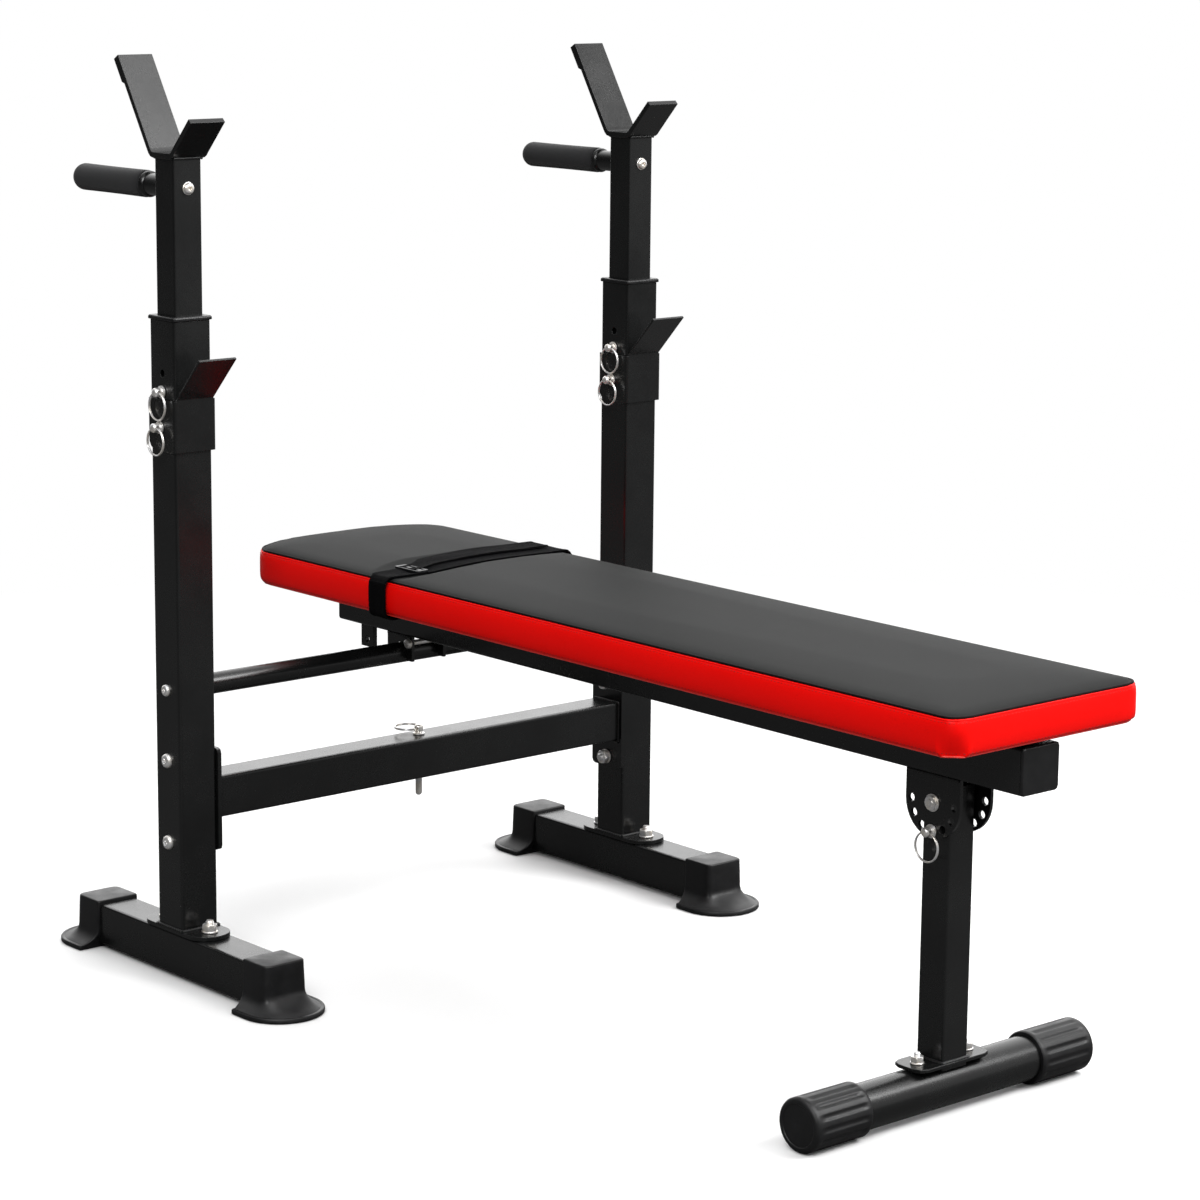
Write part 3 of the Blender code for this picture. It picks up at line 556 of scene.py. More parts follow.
def boots():
    """Moulded foot boots: a square socket that flares into a round flange with a raised rim.

    A level is (half width, back, centre, reach, corner radius, height, boxiness), with places along
    the foot measured from the middle of the rack.
    """
    for word, _ in SIDES:
        for place, end in (("front", 1), ("rear", -1)):
            node = f"boot_{word}_{place}"
            low, high = corner(node)
            x, top = (low.x + high.x) / 2, high.z
            inner = high.y if end > 0 else low.y
            y0 = inner + end * BOOT_BACK
            levels = [
                (49.0, -157, -183, 49.0, 2.5, 0.0, 0.0), (50.0, -156, -183, 50.0, 2.5, 0.9, 0.0),
                (50.0, -156, -183, 50.0, 2.5, 4.6, 0.0), (49.2, -156, -183, 49.2, 2.5, 5.6, 0.0),
                (46.8, -156, -183, 46.8, 2.5, 5.9, 0.0), (45.6, -156, -183, 45.6, 2.5, 5.3, 0.0),
                (43.8, -155, -182, 43.6, 2.5, 6.4, 0.02),
            ]
            for k in range(1, 13):
                t = k / 12
                drop = (1 - t) ** 2.6
                levels.append((
                    29.4 + 14.4 * drop, -149 - 6 * drop, -170.5 - 11.5 * drop, 24.2 + 19.4 * drop,
                    3.0, 6.4 + 19.0 * t, min(t * 1.25, 1.0),
                ))
            for k in range(1, 5):
                t = k / 4
                rise = 25.4 + (top - 27.4) * t
                levels.append((29.4 - 1.4 * t, -149 + t, -170.5, 24.2 - 0.4 * t, 3.0, rise, 1.0))
            for k in range(1, 5):
                a = math.radians(22.5 * k)
                inset = 2.0 * (1 - math.cos(a))
                rim = top - 2.0 + 2.0 * math.sin(a)
                levels.append((28.0 - inset, -BOOT_BACK - inset, -170.5, 23.8 - inset, 3.0, rim, 1.0))
            rings = [boot_line(h, b, c, r, s, z, x, y0, end, q) for h, b, c, r, s, z, q in levels]
            stand_for(solid(node + "_shape", *skin(rings), RUBBER, 42), node)


def grips():
    """Foam grips with a domed end and a rolled lip, on steel handles with a collar."""
    for word, _ in SIDES:
        low, high, axis = line_of(f"grip_{word}", "Y")
        r = (high.z - low.z) / 2
        profile = [(r - 4.0, low.y), (r - 1.6, low.y), (r - 0.4, low.y + 0.7), (r, low.y + 2.2)]
        for k in range(1, 12):
            t = k / 12
            profile.append((r - 0.25 * math.sin(math.pi * t), low.y + 2.2 + (high.y - low.y - 15) * t))
        dome = 13.0
        for k in range(13):
            a = math.radians(7.5 * k)
            profile.append((r - dome + dome * math.cos(a), high.y - dome + dome * math.sin(a)))
        stand_for(solid(f"grip_{word}_sleeve", *lathe(profile, "Y", axis, 64), FOAM, 60), f"grip_{word}")
        low, high = corner(f"handle_{word}")
        y = low.y + 33.3
        profile = [
            (5.9, low.y + 6), (5.9, y), (12.1, y), (12.5, y + 0.5), (12.5, y + 33.0), (14.0, y + 34.0),
            (15.0, y + 36.2), (15.0, y + 38.6), (14.4, y + 39.3), (11.0, y + 39.4),
            (11.0, high.y - 1), (10, high.y),
        ]
        stand_for(solid(f"handle_{word}_tube", *lathe(profile, "Y", axis, 56), COAT), f"handle_{word}")


def stabiliser():
    """Front tube and its two fluted rubber caps."""
    mid, r = round_tube("stabiliser", 80)
    for word, s in SIDES:
        node = f"stabiliser_cap_{word}"
        low, high = corner(node)
        inner, outer = sorted((abs(low.x), abs(high.x)))
        big, span = (high.z - low.z) / 2, outer - inner

        def flute(a, radius, height):
            """Long grip ribs pressed into the barrel, fading out at both ends."""
            if radius < big - 2.5:
                return radius
            t = (s * height - inner) / span
            fade = clamp((t - 0.06) / 0.06) * clamp((0.90 - t) / 0.06)
            return radius - 1.5 * fade * max(math.cos(a * 14), 0.0) ** 0.7

        profile = [(r + 0.6, inner), (big - 1.2, inner), (big, inner + 1.5)]
        profile += [(big, inner + 1.5 + (span - 5) * k / 26) for k in range(1, 27)]
        profile += [(big - 0.9, outer - 1.6), (big - 2.6, outer - 0.5), (big - 4.4, outer)]
        profile += [(big - 6.2, outer - 0.1), (big - 6.9, outer - 0.9), (4.0, outer - 0.9)]
        profile = [(q, s * h) for q, h in profile]
        shell = lathe(profile, "X", (0.0, mid.y, mid.z), 196, flute)
        stand_for(solid(node + "_shape", *shell, RUBBER, 45), node)


# --- fasteners


def fastener(node, *shells):
    stand_for(solid(node + "_set", *merge(*shells), ZINC, 35), node)


def shank(radius, low, high, axis, at):
    return lathe([(radius, low), (radius, high)], axis, at, 24)


def nut_end(washer, flat, screw, seat, thick, top, tip, axis, at, out=1, twist=0.0):
    """Washer, nut and screw end standing on a seat. thick and top are heights over the seat."""
    return merge(
        disc(washer, seat, seat + out * thick, axis, at),
        hex_nut(flat, seat + out * (thick - 0.1), seat + out * top, axis, at, twist),
        thread(screw, seat + out * (top - 0.2), tip, axis, at),
    )


def side_bolts():
    """Domed socket heads along X. The beam's bolts have a washer, nut and screw end inside."""
    for word, s in SIDES:
        for place in ("lower", "upper"):
            node = f"beam_bolt_{word}_{place}"
            low, high, at = line_of(node, "X")
            face = s * (max(abs(low.x), abs(high.x)) - 5.2)
            plate = s * (min(abs(low.x), abs(high.x)) + 12.5)
            fastener(
                node,
                button_head(8.5, 5.2, 3.1, face, "X", at, s),
                shank(4.8, face - s * 0.1, plate, "X", at),
                nut_end(9.2, 7.9, 4.9, plate, 1.6, 9.0, plate - s * 12.5, "X", at, -s),
            )
        node = f"crossbar_bolt_{word}"
        low, high, at = line_of(node, "X")
        face = s * (max(abs(low.x), abs(high.x)) - 4.4)
        head = button_head(7.0, 4.4, 2.6, face, "X", at, s)
        fastener(node, head, shank(3.9, face - s * 0.1, face - s * 68, "X", at))


def flange_bolts():
    """Upright screws through the feet: washer and nut on the flange plate, head below."""
    for word, _ in SIDES:
        for place in ("front", "rear"):
            node = f"flange_bolt_{word}_{place}"
            low, high, at = line_of(node, "Z")
            seat = high.z - 14.15
            fastener(
                node,
                nut_end(9.4, 8.0, 4.9, seat, 1.7, 9.2, high.z, "Z", at, twist=0.3),
                shank(4.8, low.z + 3, seat + 2, "Z", at),
                hex_nut(7.8, low.z, low.z + 3.4, "Z", at),
            )


def handle_bolts():
    for word, _ in SIDES:
        node = f"handle_bolt_{word}"
        low, high, at = line_of(node, "Y")
        face = low.y + 5.3
        fastener(
            node,
            disc(7.4, face, face - 1.2, "Y", at),
            button_head(6.6, 4.1, 2.3, face - 1.1, "Y", at, -1),
            shank(3.9, face, high.y, "Y", at),
        )


def bench_bolts():
    """Pivot bolt, saddle bolt and the two bolts of the leg's foot plate."""
    for node, head, size in (("pivot_bolt", 9.0, 8.2), ("saddle_bolt", 6.0, 5.6)):
        low, high, at = line_of(node, "X")
        face, far = low.x + 5.2, high.x - 12.5
        fastener(
            node,
            disc(head + 0.4, face, face - 1.2, "X", at),
            near_end(head, size, face - 1.1, at),
            shank(head * 0.52, face, far, "X", at),
            nut_end(head + 0.2, size, head * 0.52, far, 1.4, 8.2, high.x, "X", at),
        )
    for word, _ in SIDES:
        node = f"leg_bolt_{word}"
        high, at = line_of(node, "Z")[1:]
        plate = 58.7
        fastener(
            node,
            nut_end(7.5, 6.4, 3.9, plate, 1.5, 7.7, high.z, "Z", at, twist=0.35),
            shank(3.8, 12, plate + 2.3, "Z", at),
            disc(7.0, 8, 12, "Z", at),
        )


def near_end(head, size, face, at):
    """A nut with the bolt's end standing out of it, or a domed socket head on the small bolt."""
    if head < 8:
        return button_head(head, 4.0, 2.3, face, "X", at, -1)
    nut = hex_nut(size * 0.88, face, face - 3.0, "X", at, 0.2)
    return merge(nut, disc(head * 0.5, face - 2.9, face - 4.0, "X", at, 0.5))


# A lock pin's head as (radius, height above its seat), the height of its eye, and its ring of two coils.
PIN_PROFILE = (
    (7.0, 0.3), (7.3, 0.7), (7.3, 2.0), (6.6, 2.4), (5.0, 2.6), (4.6, 3.2), (5.0, 4.0), (5.3, 4.8),
    (5.3, 9.6), (4.9, 10.8), (3.9, 11.9), (2.4, 12.5), (0.6, 12.6),
)
HEAD_HIGH, EYE_HIGH, EYE_RADIUS = PIN_PROFILE[-1][1], 7.2, 2.5
RING_RADIUS, RING_WIRE, COIL_LIFT = 15.8, 0.85, 0.62


def lock_pin(node, ring_node, axis, out, hole):
    """Plated pin with a drilled, rounded head, and the split ring through it."""
    low, high, centre = line_of(node, axis)
    k = "XYZ".index(axis)
    face = high[k] - HEAD_HIGH if out > 0 else low[k] + HEAD_HIGH
    tip = low[k] if out > 0 else high[k]
    body = [(1.6, tip), (2.6, tip + out * 0.5), (4.0, tip + out * 2.6), (4.0, face + out * 0.2)]
    body += [(r, face + out * h) for r, h in PIN_PROFILE]
    pin = solid(node + "_turned", *lathe(body, axis, centre, 56), ZINC, 35)
    eye = centre.copy()
    eye[k] = face + out * EYE_HIGH
    bore_line = Vector(hole).normalized() * 12
    through = tube_line([eye - bore_line, eye + bore_line], EYE_RADIUS, sides=32)
    bore = solid(node + "_bore", *through, ZINC)
    made = pin.modifiers.new("eye", "BOOLEAN")
    made.object, made.solver = bore, "EXACT"
    cut = baked(pin)
    bpy.data.objects.remove(bore)
    bpy.data.objects.remove(pin)
    stand_for(finish_mesh(node + "_turned", cut, ZINC, 35), node)
    ring = middle(ring_node)
    down = (eye - ring).normalized()
    aside = Vector(hole).cross(down).normalized()
    places = (ring - aside * COIL_LIFT, ring + aside * COIL_LIFT)
    coil = [torus(place, hole, down, RING_RADIUS, RING_WIRE) for place in places]
    stand_for(solid(ring_node + "_wire", *merge(*coil), ZINC, 60), ring_node)


def pins():
    for kind in ("post", "catch"):
        for word, _ in SIDES:
            lock_pin(f"{kind}_pin_{word}", f"{kind}_ring_{word}", "X", -1, (0, 1, 0))
    lock_pin("beam_pin", "beam_ring", "Z", 1, (0.937, 0.35, 0))
    lock_pin("leg_pin", "leg_ring", "X", -1, (0, 1, 0))


# --- pad


PAD_CORNER, PAD_SHOULDER = 20.0, 55.0
TOP_SEAM, LOWER_SEAM = 1.6, 2.6
STAPLED, TOP_SEWN, LOWER_SEWN = 1.0, 0.55, 0.8
VOXEL, CLOTH_FRAMES = 5.5, 20


def pad_outline(inset=0.0, fine=4):
    """Plan of the pad: round foot corners, head end bowed between its shoulders."""
    low, high = corner("pad")
    half = high.x - inset
    shoulder = high.y - PAD_SHOULDER
    r = PAD_CORNER - inset * 0.5
    line = []
    for first, sx in ((180, -1), (270, 1)):
        for k in range(6 * fine + 1):
            a = math.radians(first + 15 * k / fine)
            line.append((sx * (half - r) + r * math.cos(a), low.y + inset + r + r * math.sin(a)))
    count = 16 * fine
    for k in range(count + 1):
        u = 1 - 2 * k / count
        rise = (1 - abs(u) ** 2.6) ** (1 / 1.7)
        line.append((half * u, shoulder + (high.y - inset - shoulder) * rise))
    return line


def even(line, step):
    """The closed outline again, with points an even step apart."""
    pts = [Vector(p) for p in line]
    out, carry = [], 0.0
    for a, b in zip(pts, pts[1:] + pts[:1]):
        length = (b - a).length
        at = carry
        while at < length:
            out.append(a + (b - a) * (at / length))
            at += step
        carry = at - length
    return out


def pad_blank():
    """Closed starting shape for the pad, a little inside its final size."""
    low, high = corner("pad")
    rings = []
    for inset, z in (
        (4.0, low.z + 0.3), (1.8, low.z + 1.0), (1.0, low.z + 2.6),
        (1.0, high.z - 2.2), (1.4, high.z - 1.0), (3.0, high.z - 0.4),
    ):
        rings.append([(p[0], p[1], z) for p in pad_outline(inset)])
    return skin(rings)


def relax(mesh, factor):
    """Two passes of smoothing."""
    work = bmesh.new()
    work.from_mesh(mesh)
    for _ in range(2):
        bmesh.ops.smooth_vert(
            work, verts=work.verts, factor=factor, use_axis_x=True, use_axis_y=True, use_axis_z=True
        )
    work.to_mesh(mesh)
    work.free()


def points_of(mesh):
    """The mesh's points as rows of x, y and z, in metres."""
    co = np.empty(len(mesh.vertices) * 3, np.float32)
    mesh.vertices.foreach_get("co", co)
    return co.reshape(-1, 3)


def inflate(obj, pinned, pressure, cap):
    """Remeshes, runs pressurised cloth with some points held, caps all travel and subdivides once."""
    remesh = obj.modifiers.new("remesh", "REMESH")
    remesh.mode, remesh.voxel_size = "VOXEL", VOXEL * MM
    mesh = baked(obj)
    relax(mesh, 0.5)
    start = points_of(mesh)
    held = obj.vertex_groups.new(name="held")
    for i, weight in pinned(start):
        held.add([int(i)], float(weight), "REPLACE")
    cloth = obj.modifiers.new("cloth", "CLOTH")
    s = cloth.settings
    s.quality, s.mass, s.air_damping = 5, 0.35, 2.0
    s.tension_stiffness = s.compression_stiffness = 22.0
    s.shear_stiffness, s.bending_stiffness = 12.0, 4.0
    s.use_pressure, s.uniform_pressure_force = True, pressure
    s.effector_weights.gravity = 0.0
    s.vertex_group_mass = "held"
    cloth.collision_settings.use_self_collision = False
    cloth.point_cache.frame_start, cloth.point_cache.frame_end = 1, CLOTH_FRAMES
    scene = bpy.context.scene
    for f in range(1, CLOTH_FRAMES + 1):
        scene.frame_set(f)
    posed = baked(obj)
    moved = points_of(posed) - start
    far = np.linalg.norm(moved, axis=1, keepdims=True)
    moved *= np.minimum(1.0, cap * MM / np.maximum(far, 1e-9))
    posed.vertices.foreach_set("co", (start + moved).ravel())
    scene.frame_set(1)
    relax(obj.data, 0.4)
    sub = obj.modifiers.new("sub", "SUBSURF")
    sub.levels = sub.render_levels = 1
    return baked(obj)


def edge_distance(co):
    """How far each point lies from the pad's outline in plan, in mm."""
    line = np.array(pad_outline(0.0, 2))
    flat = co[:, :2] / MM
    best = np.full(len(flat), 1e9)
    for a, b in zip(line, np.roll(line, -1, axis=0)):
        side = b - a
        t = np.clip((flat - a) @ side / max(side @ side, 1e-9), 0.0, 1.0)
        best = np.minimum(best, np.linalg.norm(flat - a - t[:, None] * side, axis=1))
    return best


# The strap on top: x, then how far its inner face stands above the pad's CAD top.
STRAP_TOP = (
    (-142, 2.4), (-112, 2.1), (-92, 1.9), (-74, 2.0), (-50, 3.4), (0, 4.8), (50, 4.6), (100, 3.2), (142, 2.4)
)
# x, then the strap's middle along the bench, from the same zero as its spans below.
STRAP_MID = ((-142, -112), (-92, -106), (0, -98), (142, -95))


def strap_zero():
    """Where along the bench the strap's spans count from, in mm."""
    return corner("strap")[0].y + 128.0


def along(table, x):
    """The second column of a table, interpolated at x."""
    return np.interp(x, [row[0] for row in table], [row[1] for row in table])


def crown(mesh):
    """Fills the top panel out near its seam, and presses it down where the strap crosses."""
    high = corner("pad")[1]
    co = points_of(mesh)
    inside = edge_distance(co)
    t = np.clip((inside - 2.0) / 22.0, 0.0, 1.0)
    top = np.clip((co[:, 2] / MM - (high.z - 2.5)) / 2.0, 0.0, 1.0)
    co[:, 2] += 2.6 * MM * top * t * (2.0 - t)
    x = co[:, 0] / MM
    away = np.abs(co[:, 1] / MM - strap_zero() - along(STRAP_MID, x))
    s = np.clip((away - 22.0) / 34.0, 0.0, 1.0)
    ceiling = high.z + along(STRAP_TOP, x) - 1.0 + 9.0 * s * s * (3.0 - 2.0 * s)
    co[:, 2] = np.where(top > 0, np.minimum(co[:, 2], ceiling * MM), co[:, 2])
    mesh.vertices.foreach_set("co", co.ravel())


def pad():
    """Grey and red cushion with its trims, shaped by a cloth run."""
    low, high = corner("pad")
    seam_z = (high.z - TOP_SEAM) * MM
    lower_z = (low.z + LOWER_SEAM) * MM
    obj = solid("pad_cover", *pad_blank(), RED_VINYL)

    def pinned(co):
        """The underside is stapled to the board; the two sewn edges are stiffer than the panels."""
        z = co[:, 2]
        side = np.abs(co[:, 0]) > (high.x - 9) * MM
        side |= co[:, 1] < (low.y + 9) * MM
        side |= edge_distance(co) < 9.0
        for i in range(len(co)):
            if z[i] < (low.z + 2.5) * MM:
                yield i, STAPLED
            elif side[i] and abs(z[i] - seam_z) < 2.6 * MM:
                yield i, TOP_SEWN
            elif side[i] and abs(z[i] - lower_z) < 2.6 * MM:
                yield i, LOWER_SEWN

    mesh = inflate(obj, pinned, 4.0, 6.0)
    crown(mesh)
    pleats(mesh, low, high)
    mesh.materials.clear()
    for mat in (RED_VINYL, TOP_VINYL, BACKING):
        mesh.materials.append(mat)
    points = [v.co.copy() for v in mesh.vertices]
    tree = BVHTree.FromPolygons(points, [tuple(p.vertices) for p in mesh.polygons])
    colour_bands(mesh, seam_z)
    for p in mesh.polygons:
        p.use_smooth = True
    stand_for(obj, "pad")
    trims(tree, seam_z / MM, lower_z / MM)


def pleats(mesh, low, high):
    """Pulls the foot corners in below, flat between two folds, and gathers the head corners."""
    heads = [(low.x + 20, high.y - 62, -1), (high.x - 20, high.y - 62, 1)]
    fold_leg = {-1: 25.0, 1: 14.0}
    for v in mesh.vertices:
        p = v.co / MM
        down = clamp((low.z + 28.0 - p.z) / 27.0)
        if down == 0.0:
            continue
        for sx in (-1, 1):
            leg = fold_leg[sx]
            u = p.x - low.x if sx < 0 else high.x - p.x
            w = p.y - low.y
            if u + w < leg and min(u, w) > -2:
                t = (leg - u - w) / 2 * down ** 1.5
                v.co += Vector((-sx * t, t, 0.0)) * MM
            tip = math.exp(-(((u + w - leg) / 2.6) ** 2)) * down ** 3 if min(u, w) < 9 else 0.0
            if tip > 0.02:
                out = Vector((sx if u < w else 0.0, -1.0 if w <= u else 0.0, -0.55))
                v.co += out * (1.5 * tip * MM)
        for cx, cy, sx in heads:
            dx, dy = (p.x - cx) * sx, p.y - cy
            if dx < -6 or dy < -6 or math.hypot(dx, dy) < 14:
                continue
            a = math.atan2(dy, dx)
            window = clamp((a + 0.25) / 0.35) * clamp((1.82 - a) / 0.35)
            depth = 1.4 * window * down * (0.5 + 0.5 * math.cos(a * 22.0)) ** 2.2
            v.co -= Vector((math.cos(a) * sx, math.sin(a), 0.0)) * (depth * MM)


def colour_bands(mesh, seam_z):
    """Cuts the cover along the top seam: red below it, grey above, backing underneath."""
    work = bmesh.new()
    work.from_mesh(mesh)
    geom = list(work.verts) + list(work.edges) + list(work.faces)
    bmesh.ops.bisect_plane(work, geom=geom, dist=1e-7, plane_co=(0, 0, seam_z), plane_no=(0, 0, 1))
    low, high = corner("pad")
    for f in work.faces:
        at = f.calc_center_median()
        under = at.z < (low.z + 2.6) * MM and abs(at.x) < (high.x - 11) * MM and at.y > (low.y + 11) * MM
        f.material_index = 1 if at.z > seam_z else 2 if under and f.normal.z < -0.7 else 0
    work.to_mesh(mesh)
    work.free()


def on_side(tree, outline, z, out=0.0):
    """The outline dropped onto the cover's side at a height, pushed out a little."""
    line = []
    count = len(outline)
    for i, p in enumerate(outline):
        ahead = (outline[(i + 1) % count] - outline[i - 1]).normalized()
        normal = Vector((ahead.y, -ahead.x, 0.0))
        start = Vector((p.x, p.y, z)) * MM + normal * 0.03
        hit = tree.ray_cast(start, -normal, 0.08)[0]
        found = hit / MM if hit else Vector((p.x, p.y, z))
        line.append(found + normal * out)
    return line


def trims(tree, seam_z, lower_z):
    """Binding, piping and stitches sewn on after the cover is inflated."""
    outline = even(pad_outline(), 4.0)
    for name, z, out, radius, mat in (
        ("pad_binding", seam_z + 0.2, 0.2, 1.6, DARK_SEAM),
        ("pad_piping_upper", seam_z - 2.0, -0.1, 0.8, RED_VINYL),
        # The lower piping's lighter red is a painted highlight.
        ("pad_piping_lower", lower_z - 0.8, 0.1, 1.1, RED_CORD_PAINTED_HIGHLIGHT),
    ):
        cord = tube_line(on_side(tree, outline, z, out), radius, True)
        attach(solid(name, *cord, mat, 60), "bench")
    outline = even(pad_outline(), 2.5)
    stitches("pad_stitches_upper", on_side(tree, outline, seam_z - 4.6, 0.12))
    stitches("pad_stitches_lower", on_side(tree, outline, lower_z + 2.6, 0.12))


def stitches(name, line):
    """Short threads, one for each pair of points along the line."""
    shells = []
    for a, b in zip(line[::2], line[1::2]):
        path = [a * 0.9 + b * 0.1, (a + b) / 2, a * 0.1 + b * 0.9]
        shells.append(tube_line(path, 0.34, sides=5, swell=lambda i: (0.55, 1.0, 0.55)[i]))
    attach(solid(name, *merge(*shells), THREAD, 60), "bench")


# --- strap


PER_STATION = 8


def smooth_path(stations):
    """Catmull-Rom through a closed list of equal tuples."""
    out = []
    count = len(stations)
    for i in range(count):
        p0, p1, p2, p3 = (np.array(stations[(i + k) % count], float) for k in (-1, 0, 1, 2))
        for k in range(PER_STATION):
            t = k / PER_STATION
            square_term = (2 * p0 - 5 * p1 + 4 * p2 - p3) * t**2
            out.append(0.5 * (2 * p1 + (p2 - p0) * t + square_term + (3 * p1 - p0 - 3 * p2 + p3) * t**3))
    return out


def ribbon(name, stations, thick, closed=True, waves=0.0):
    """Webbing through (x, z, outward x, outward z, low y, high y) stations.

    It has thick selvedges, soft waves across it and a UV map that runs along it.
    """
    rings, marks = [], []
    run, last, cols = 0.0, None, 10
    for x, z, nx, nz, y0, y1 in stations:
        n = Vector((nx, 0, nz)).normalized()
        here = Vector((x, 0, z))
        run += (here - last).length if last else 0.0
        last = here
        ring, mark = [], []
        for row, lift in ((0, 0.0), (1, thick)):
            for c in range(cols + 1):
                t = c / cols if row == 0 else 1 - c / cols
                rib = 0.22 if min(t, 1 - t) < 0.12 else 0.0
                swing = waves * (0.5 + 0.5 * math.sin(run * 0.021))
                d = lift * (1.0 + rib) + swing * math.sin(t * math.pi * 2.0 + run * 0.05)
                ring.append((x + n.x * d, y0 + (y1 - y0) * t, z + n.z * d))
                mark.append((run * MM, t * 0.05))
        rings.append(ring)
        marks += mark
    points, faces = skin(rings, closed)
    obj = solid(name, points, faces, WEB, 50)
    layer = obj.data.uv_layers.new(name="UVMap")
    marks += [marks[-1]] * (len(points) - len(marks))
    for loop in obj.data.loops:
        layer.data[loop.index].uv = marks[loop.vertex_index]
    return obj


def arc_stations(cx, cz, r, angles, spans, s):
    """Stations round one of the pad's long edges, s being its side."""
    line = []
    for a, (y0, y1) in zip(angles, spans):
        c, q = math.cos(math.radians(a)), math.sin(math.radians(a))
        line.append((s * (cx + r * c), cz + r * q, s * c, q, y0, y1))
    return line


def from_zero(line):
    """The stations with their spans moved from the strap's zero to the frame's."""
    y = strap_zero()
    return [(a, b, c, d, y0 + y, y1 + y) for a, b, c, d, y0, y1 in line]


def strap():
    """Webbing once round the pad, gathered on the near side, with a second lay on top."""
    low, high = corner("pad")
    cx, top, bottom = high.x - 7.0, high.z - 7.0, low.z + 7.0
    under = corner("strap")[0].z + 1.9
    near = (-127, -97)
    line = arc_stations(cx, top, 9.4, (0, 30, 60, 90), (near, near, (-127, -96), (-127, -93)), -1)
    for x, y0, y1 in (
        (-112, -127, -90), (-92, -126, -84), (-74, -126, -81), (-50, -125, -77),
        (0, -123, -73), (50, -121, -70), (100, -119, -68),
    ):
        line.append((x, high.z + along(STRAP_TOP, x), 0, 1, y0, y1))
    line += arc_stations(cx, top, 9.4, (90, 60, 30, 0), [(-118, -69 - k) for k in range(4)], 1)
    line += arc_stations(cx, bottom, 9.2, (0, -45, -80), ((-118, -74), (-118, -76), (-118, -80)), 1)
    for x, y0, y1 in (
        (131, -118, -82), (110, -118, -83), (30, -119, -86),
        (-30, -121, -89), (-110, -125, -93), (-131, -127, -96),
    ):
        line.append((x, under, 0, -1, y0, y1))
    line += arc_stations(cx, bottom, 9.2, (-80, -45, 0), (near, near, near), -1)
    stand_for(ribbon("strap_band", smooth_path(from_zero(line)), 1.5, True, 0.5), "strap")
    fold = [
        (x, high.z + along(STRAP_TOP, x) + 2.7, 0, 1, y0, y1)
        for x, y0, y1 in (
            (-82, -113, -90), (-74, -110, -84), (-62, -106, -77), (-50, -103, -70),
            (-10, -99, -64), (40, -97, -61), (85, -96, -61), (120, -95, -64),
        )
    ]
    open_part = smooth_path(from_zero(fold))[: (len(fold) - 1) * PER_STATION]
    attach(ribbon("strap_fold", open_part, 1.5, False, 0.3), "bench")


# --- welds


def weld(name, body, path, radius=1.9, seed=0):
    """A laid bead: a cord whose width ripples along its length."""
    pts = [Vector(p) for p in path]
    line = []
    for a, b in zip(pts, pts[1:]):
        steps = max(int((b - a).length / 1.3), 1)
        line += [a + (b - a) * (k / steps) for k in range(steps)]
    line.append(pts[-1])

    def swell(i):
        return 1.0 + 0.16 * math.sin(i * 1.9 + seed) + 0.07 * math.sin(i * 0.37 + seed)

    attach(solid(name, *tube_line(line, radius, False, 8, swell), COAT_WELD, 60), body)


def square(x, y, half, z):
    """Closed line round a square tube, 0.4 mm off its faces."""
    h = half + 0.4
    return [(x - h, y - h, z), (x + h, y - h, z), (x + h, y + h, z), (x - h, y + h, z), (x - h, y - h, z)]


def welds():
    """Beads where the tubes and plates join."""
    base_y = middle("crossbar").y
    for word, s in SIDES:
        up = corner(f"upright_{word}")
        x = middle(f"upright_{word}").x
        weld(f"weld_flange_{word}", "rack", square(x, base_y, 25.0, up[0].z + 5.4), 2.1, 1)
        low, high = corner("crossbeam")
        plate_x = (high if s > 0 else low).x - s * 5.3
        mid_z = (low.z + high.z) / 2
        turns = ((-22.4, -25.4), (22.4, -25.4), (22.4, 25.4), (-22.4, 25.4), (-22.4, -25.4))
        weld(f"weld_beam_{word}", "rack", [(plate_x, base_y + y, mid_z + z) for y, z in turns], 1.9, 2)
        body = BODY_OF[f"post_{word}"]
        z = corner(f"post_{word}")[0].z + 530.4
        weld(f"weld_hook_{word}_a", body, [(x - 19, base_y - 19.6, z), (x + 19, base_y - 19.6, z)], 1.7, 3)
        for n in (-1, 1):
            ends = [(x + n * 19.6, base_y + y, z) for y in (-18, 18)]
            weld(f"weld_hook_{word}_{n + 2}", body, ends, 1.7, 4)
    leg_y = middle("stabiliser").y
    weld("weld_leg", "front_leg", square(0, leg_y, 19.0, 59.0), 1.8, 5)
    z = corner("underframe_cap_front")[0].z - 0.2
    for n in (-1, 1):
        weld(f"weld_ear_{n + 2}", "bench", [(n * 25.4, leg_y + y, z) for y in (-36, 36)], 1.7, 6)
        weld(f"weld_saddle_{n + 2}", "bench", [(n * 26.3, base_y + y, z) for y in (-22, 22)], 1.6, 7)


# --- stage, light and camera


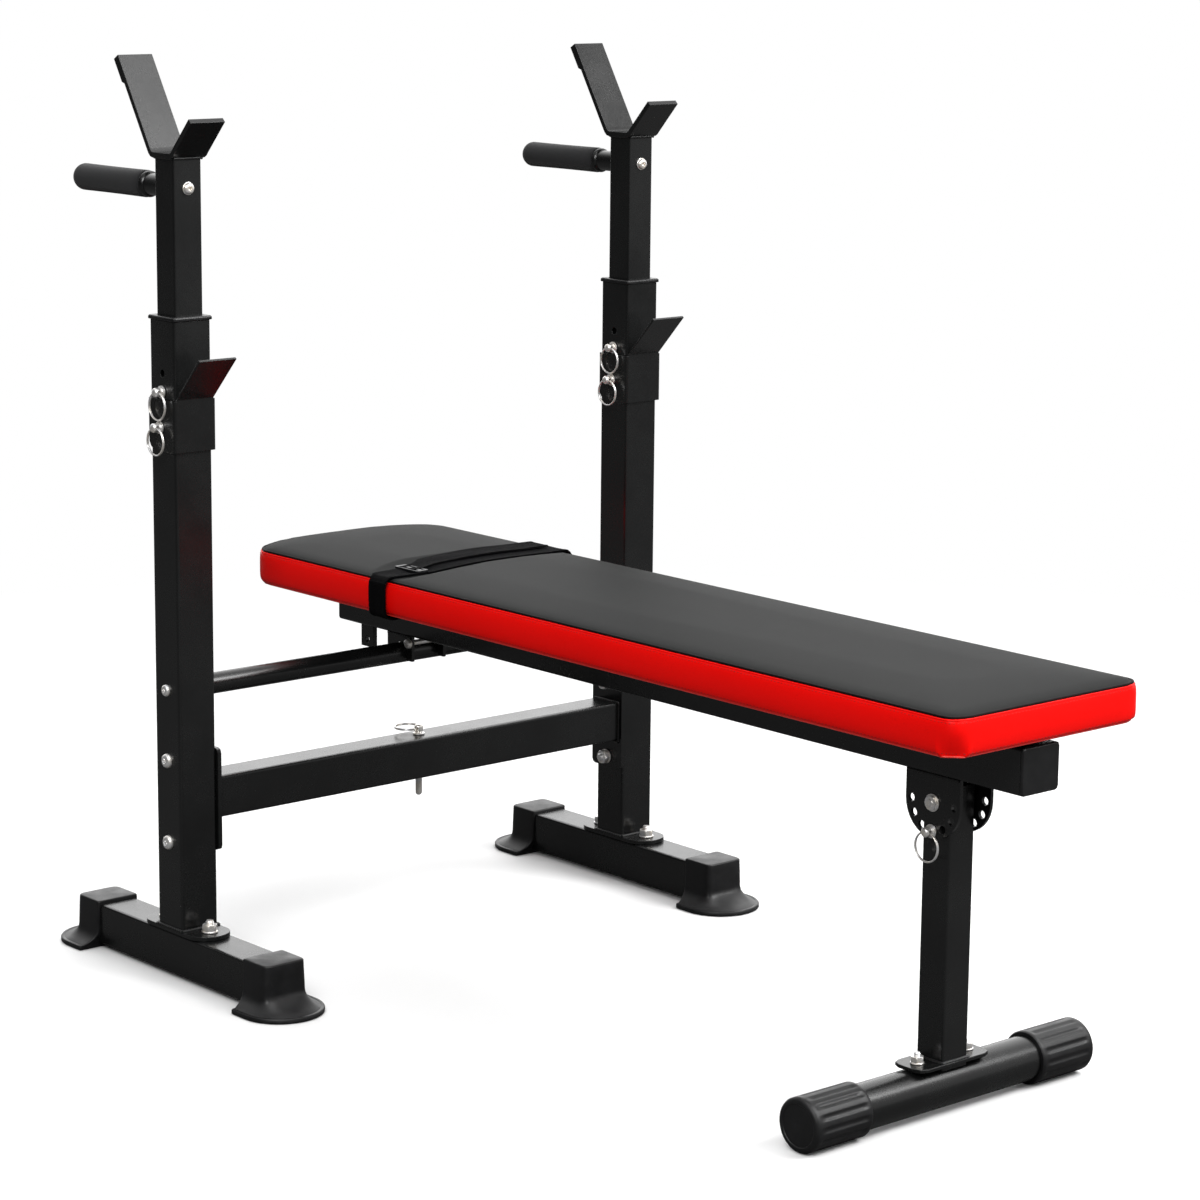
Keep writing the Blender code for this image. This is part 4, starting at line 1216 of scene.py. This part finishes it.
def stage():
    """Floor that fades to white: pale to the camera, and dim in what it throws back."""
    mesh = bpy.data.meshes.new("floor")
    half = 9.0
    spots = [(x * half, y * half, 0) for x, y in ((-1, -1), (1, -1), (1, 1), (-1, 1))]
    mesh.from_pydata(spots, [], [(0, 1, 2, 3)])
    floor = bpy.data.objects.new("floor", mesh)
    floor.location.z = -0.0005
    bpy.context.scene.collection.objects.link(floor)
    g = Graph("pale_floor")
    g.set(Base_Color=rgb(0.86, 0.86, 0.86), Roughness=0.6, Specular_IOR_Level=0.15)
    far = g.node("VectorMath", out=1, operation="LENGTH", in_0=g.coord.outputs["Object"])
    white = g.node("Emission", in_Color=rgb(1, 1, 1), in_Strength=1.0)
    dim = g.node("BsdfDiffuse", in_Color=rgb(0.10, 0.10, 0.10))
    seen = g.node("MixShader", in_0=g.span(far, 1.1, 2.6, 0.0, 1.0), in_1=g.shader.outputs[0], in_2=white)
    whole = g.node("MixShader", in_0=g.node("LightPath"), in_1=dim, in_2=seen)
    g.tree.links.new(whole, g.tree.nodes["Material Output"].inputs["Surface"])
    mesh.materials.append(g.mat)


def area(name, spot, aim, size, power):
    """Square lamp of this size in metres and power in watts."""
    data = bpy.data.lights.new(name, "AREA")
    data.shape, data.size = "SQUARE", size
    data.energy = power
    obj = bpy.data.objects.new(name, data)
    obj.location = spot
    obj.rotation_euler = (Vector(aim) - Vector(spot)).to_track_quat("-Z", "Y").to_euler()
    bpy.context.scene.collection.objects.link(obj)


def world():
    """White to the camera. To the object it is a soft room: bright behind and above, dim to the left."""
    made = bpy.data.worlds.new("studio")
    bpy.context.scene.world = made
    g = Graph("studio", made)
    view = g.coord.outputs["Generated"]
    light = 0.06
    for direction, low, high, gain in (
        ((0.62, 0.74, 0.26), 0.45, 0.98, 2.1),
        ((0.70, -0.68, 0.25), 0.25, 1.0, 0.55),
        ((-0.1, -0.2, 0.97), 0.25, 1.0, 0.80),
    ):
        toward = Vector(direction).normalized()
        dot = g.node("VectorMath", out=1, operation="DOT_PRODUCT", in_0=view, in_1=toward)
        ends = {"in_1": low, "in_2": high, "in_3": 0.0, "in_4": gain}
        lobe = g.node("MapRange", interpolation_type="SMOOTHSTEP", in_0=dot, **ends)
        light = g.math("ADD", light, lobe)
    white = rgb(1, 1, 1)
    room = g.node("Background", in_Color=white, in_Strength=light)
    plain = g.node("Background", in_Color=white, in_Strength=1.0)
    whole = g.node("MixShader", in_0=g.node("LightPath"), in_1=room, in_2=plain)
    g.tree.links.new(whole, g.tree.nodes["World Output"].inputs["Surface"])


AIM, AWAY = Vector((-0.0299, 0.0230, 0.4661)), 3.9405
AZIMUTH, ELEVATION, ROLL = -41.01, 11.23, 0.56


def camera():
    """Looks at AIM from AWAY metres, at angles in degrees."""
    data = bpy.data.cameras.new("camera")
    data.sensor_width, data.lens = 36.0, 105.28
    data.clip_start, data.clip_end = 0.1, 60.0
    obj = bpy.data.objects.new("camera", data)
    bpy.context.scene.collection.objects.link(obj)
    a, e, roll = (math.radians(angle) for angle in (AZIMUTH, ELEVATION, ROLL))
    back = Vector((math.sin(a) * math.cos(e), -math.cos(a) * math.cos(e), math.sin(e)))
    obj.location = AIM + back * AWAY
    obj.rotation_mode = "QUATERNION"
    level = (-back).to_track_quat("-Z", "Y")
    obj.rotation_quaternion = level @ Matrix.Rotation(roll, 3, "Z").to_quaternion()
    bpy.context.scene.camera = obj


# --- build

frame_steel()
round_tube("crossbar", 64)
boots()
grips()
stabiliser()
side_bolts()
flange_bolts()
handle_bolts()
bench_bolts()
pins()
pad()
strap()
welds()
stage()
world()
area("key", (2.2, -3.0, 3.6), (0, 0, 0.5), 2.2, 180)
area("fill", (-3.2, -2.4, 3.2), (0, -0.1, 0.4), 2.0, 115)
area("top", (0.3, -0.7, 4.2), (0, -0.3, 0.4), 3.0, 60)
camera()
bpy.context.scene.view_settings.view_transform = "Standard"
bpy.context.view_layer.update()
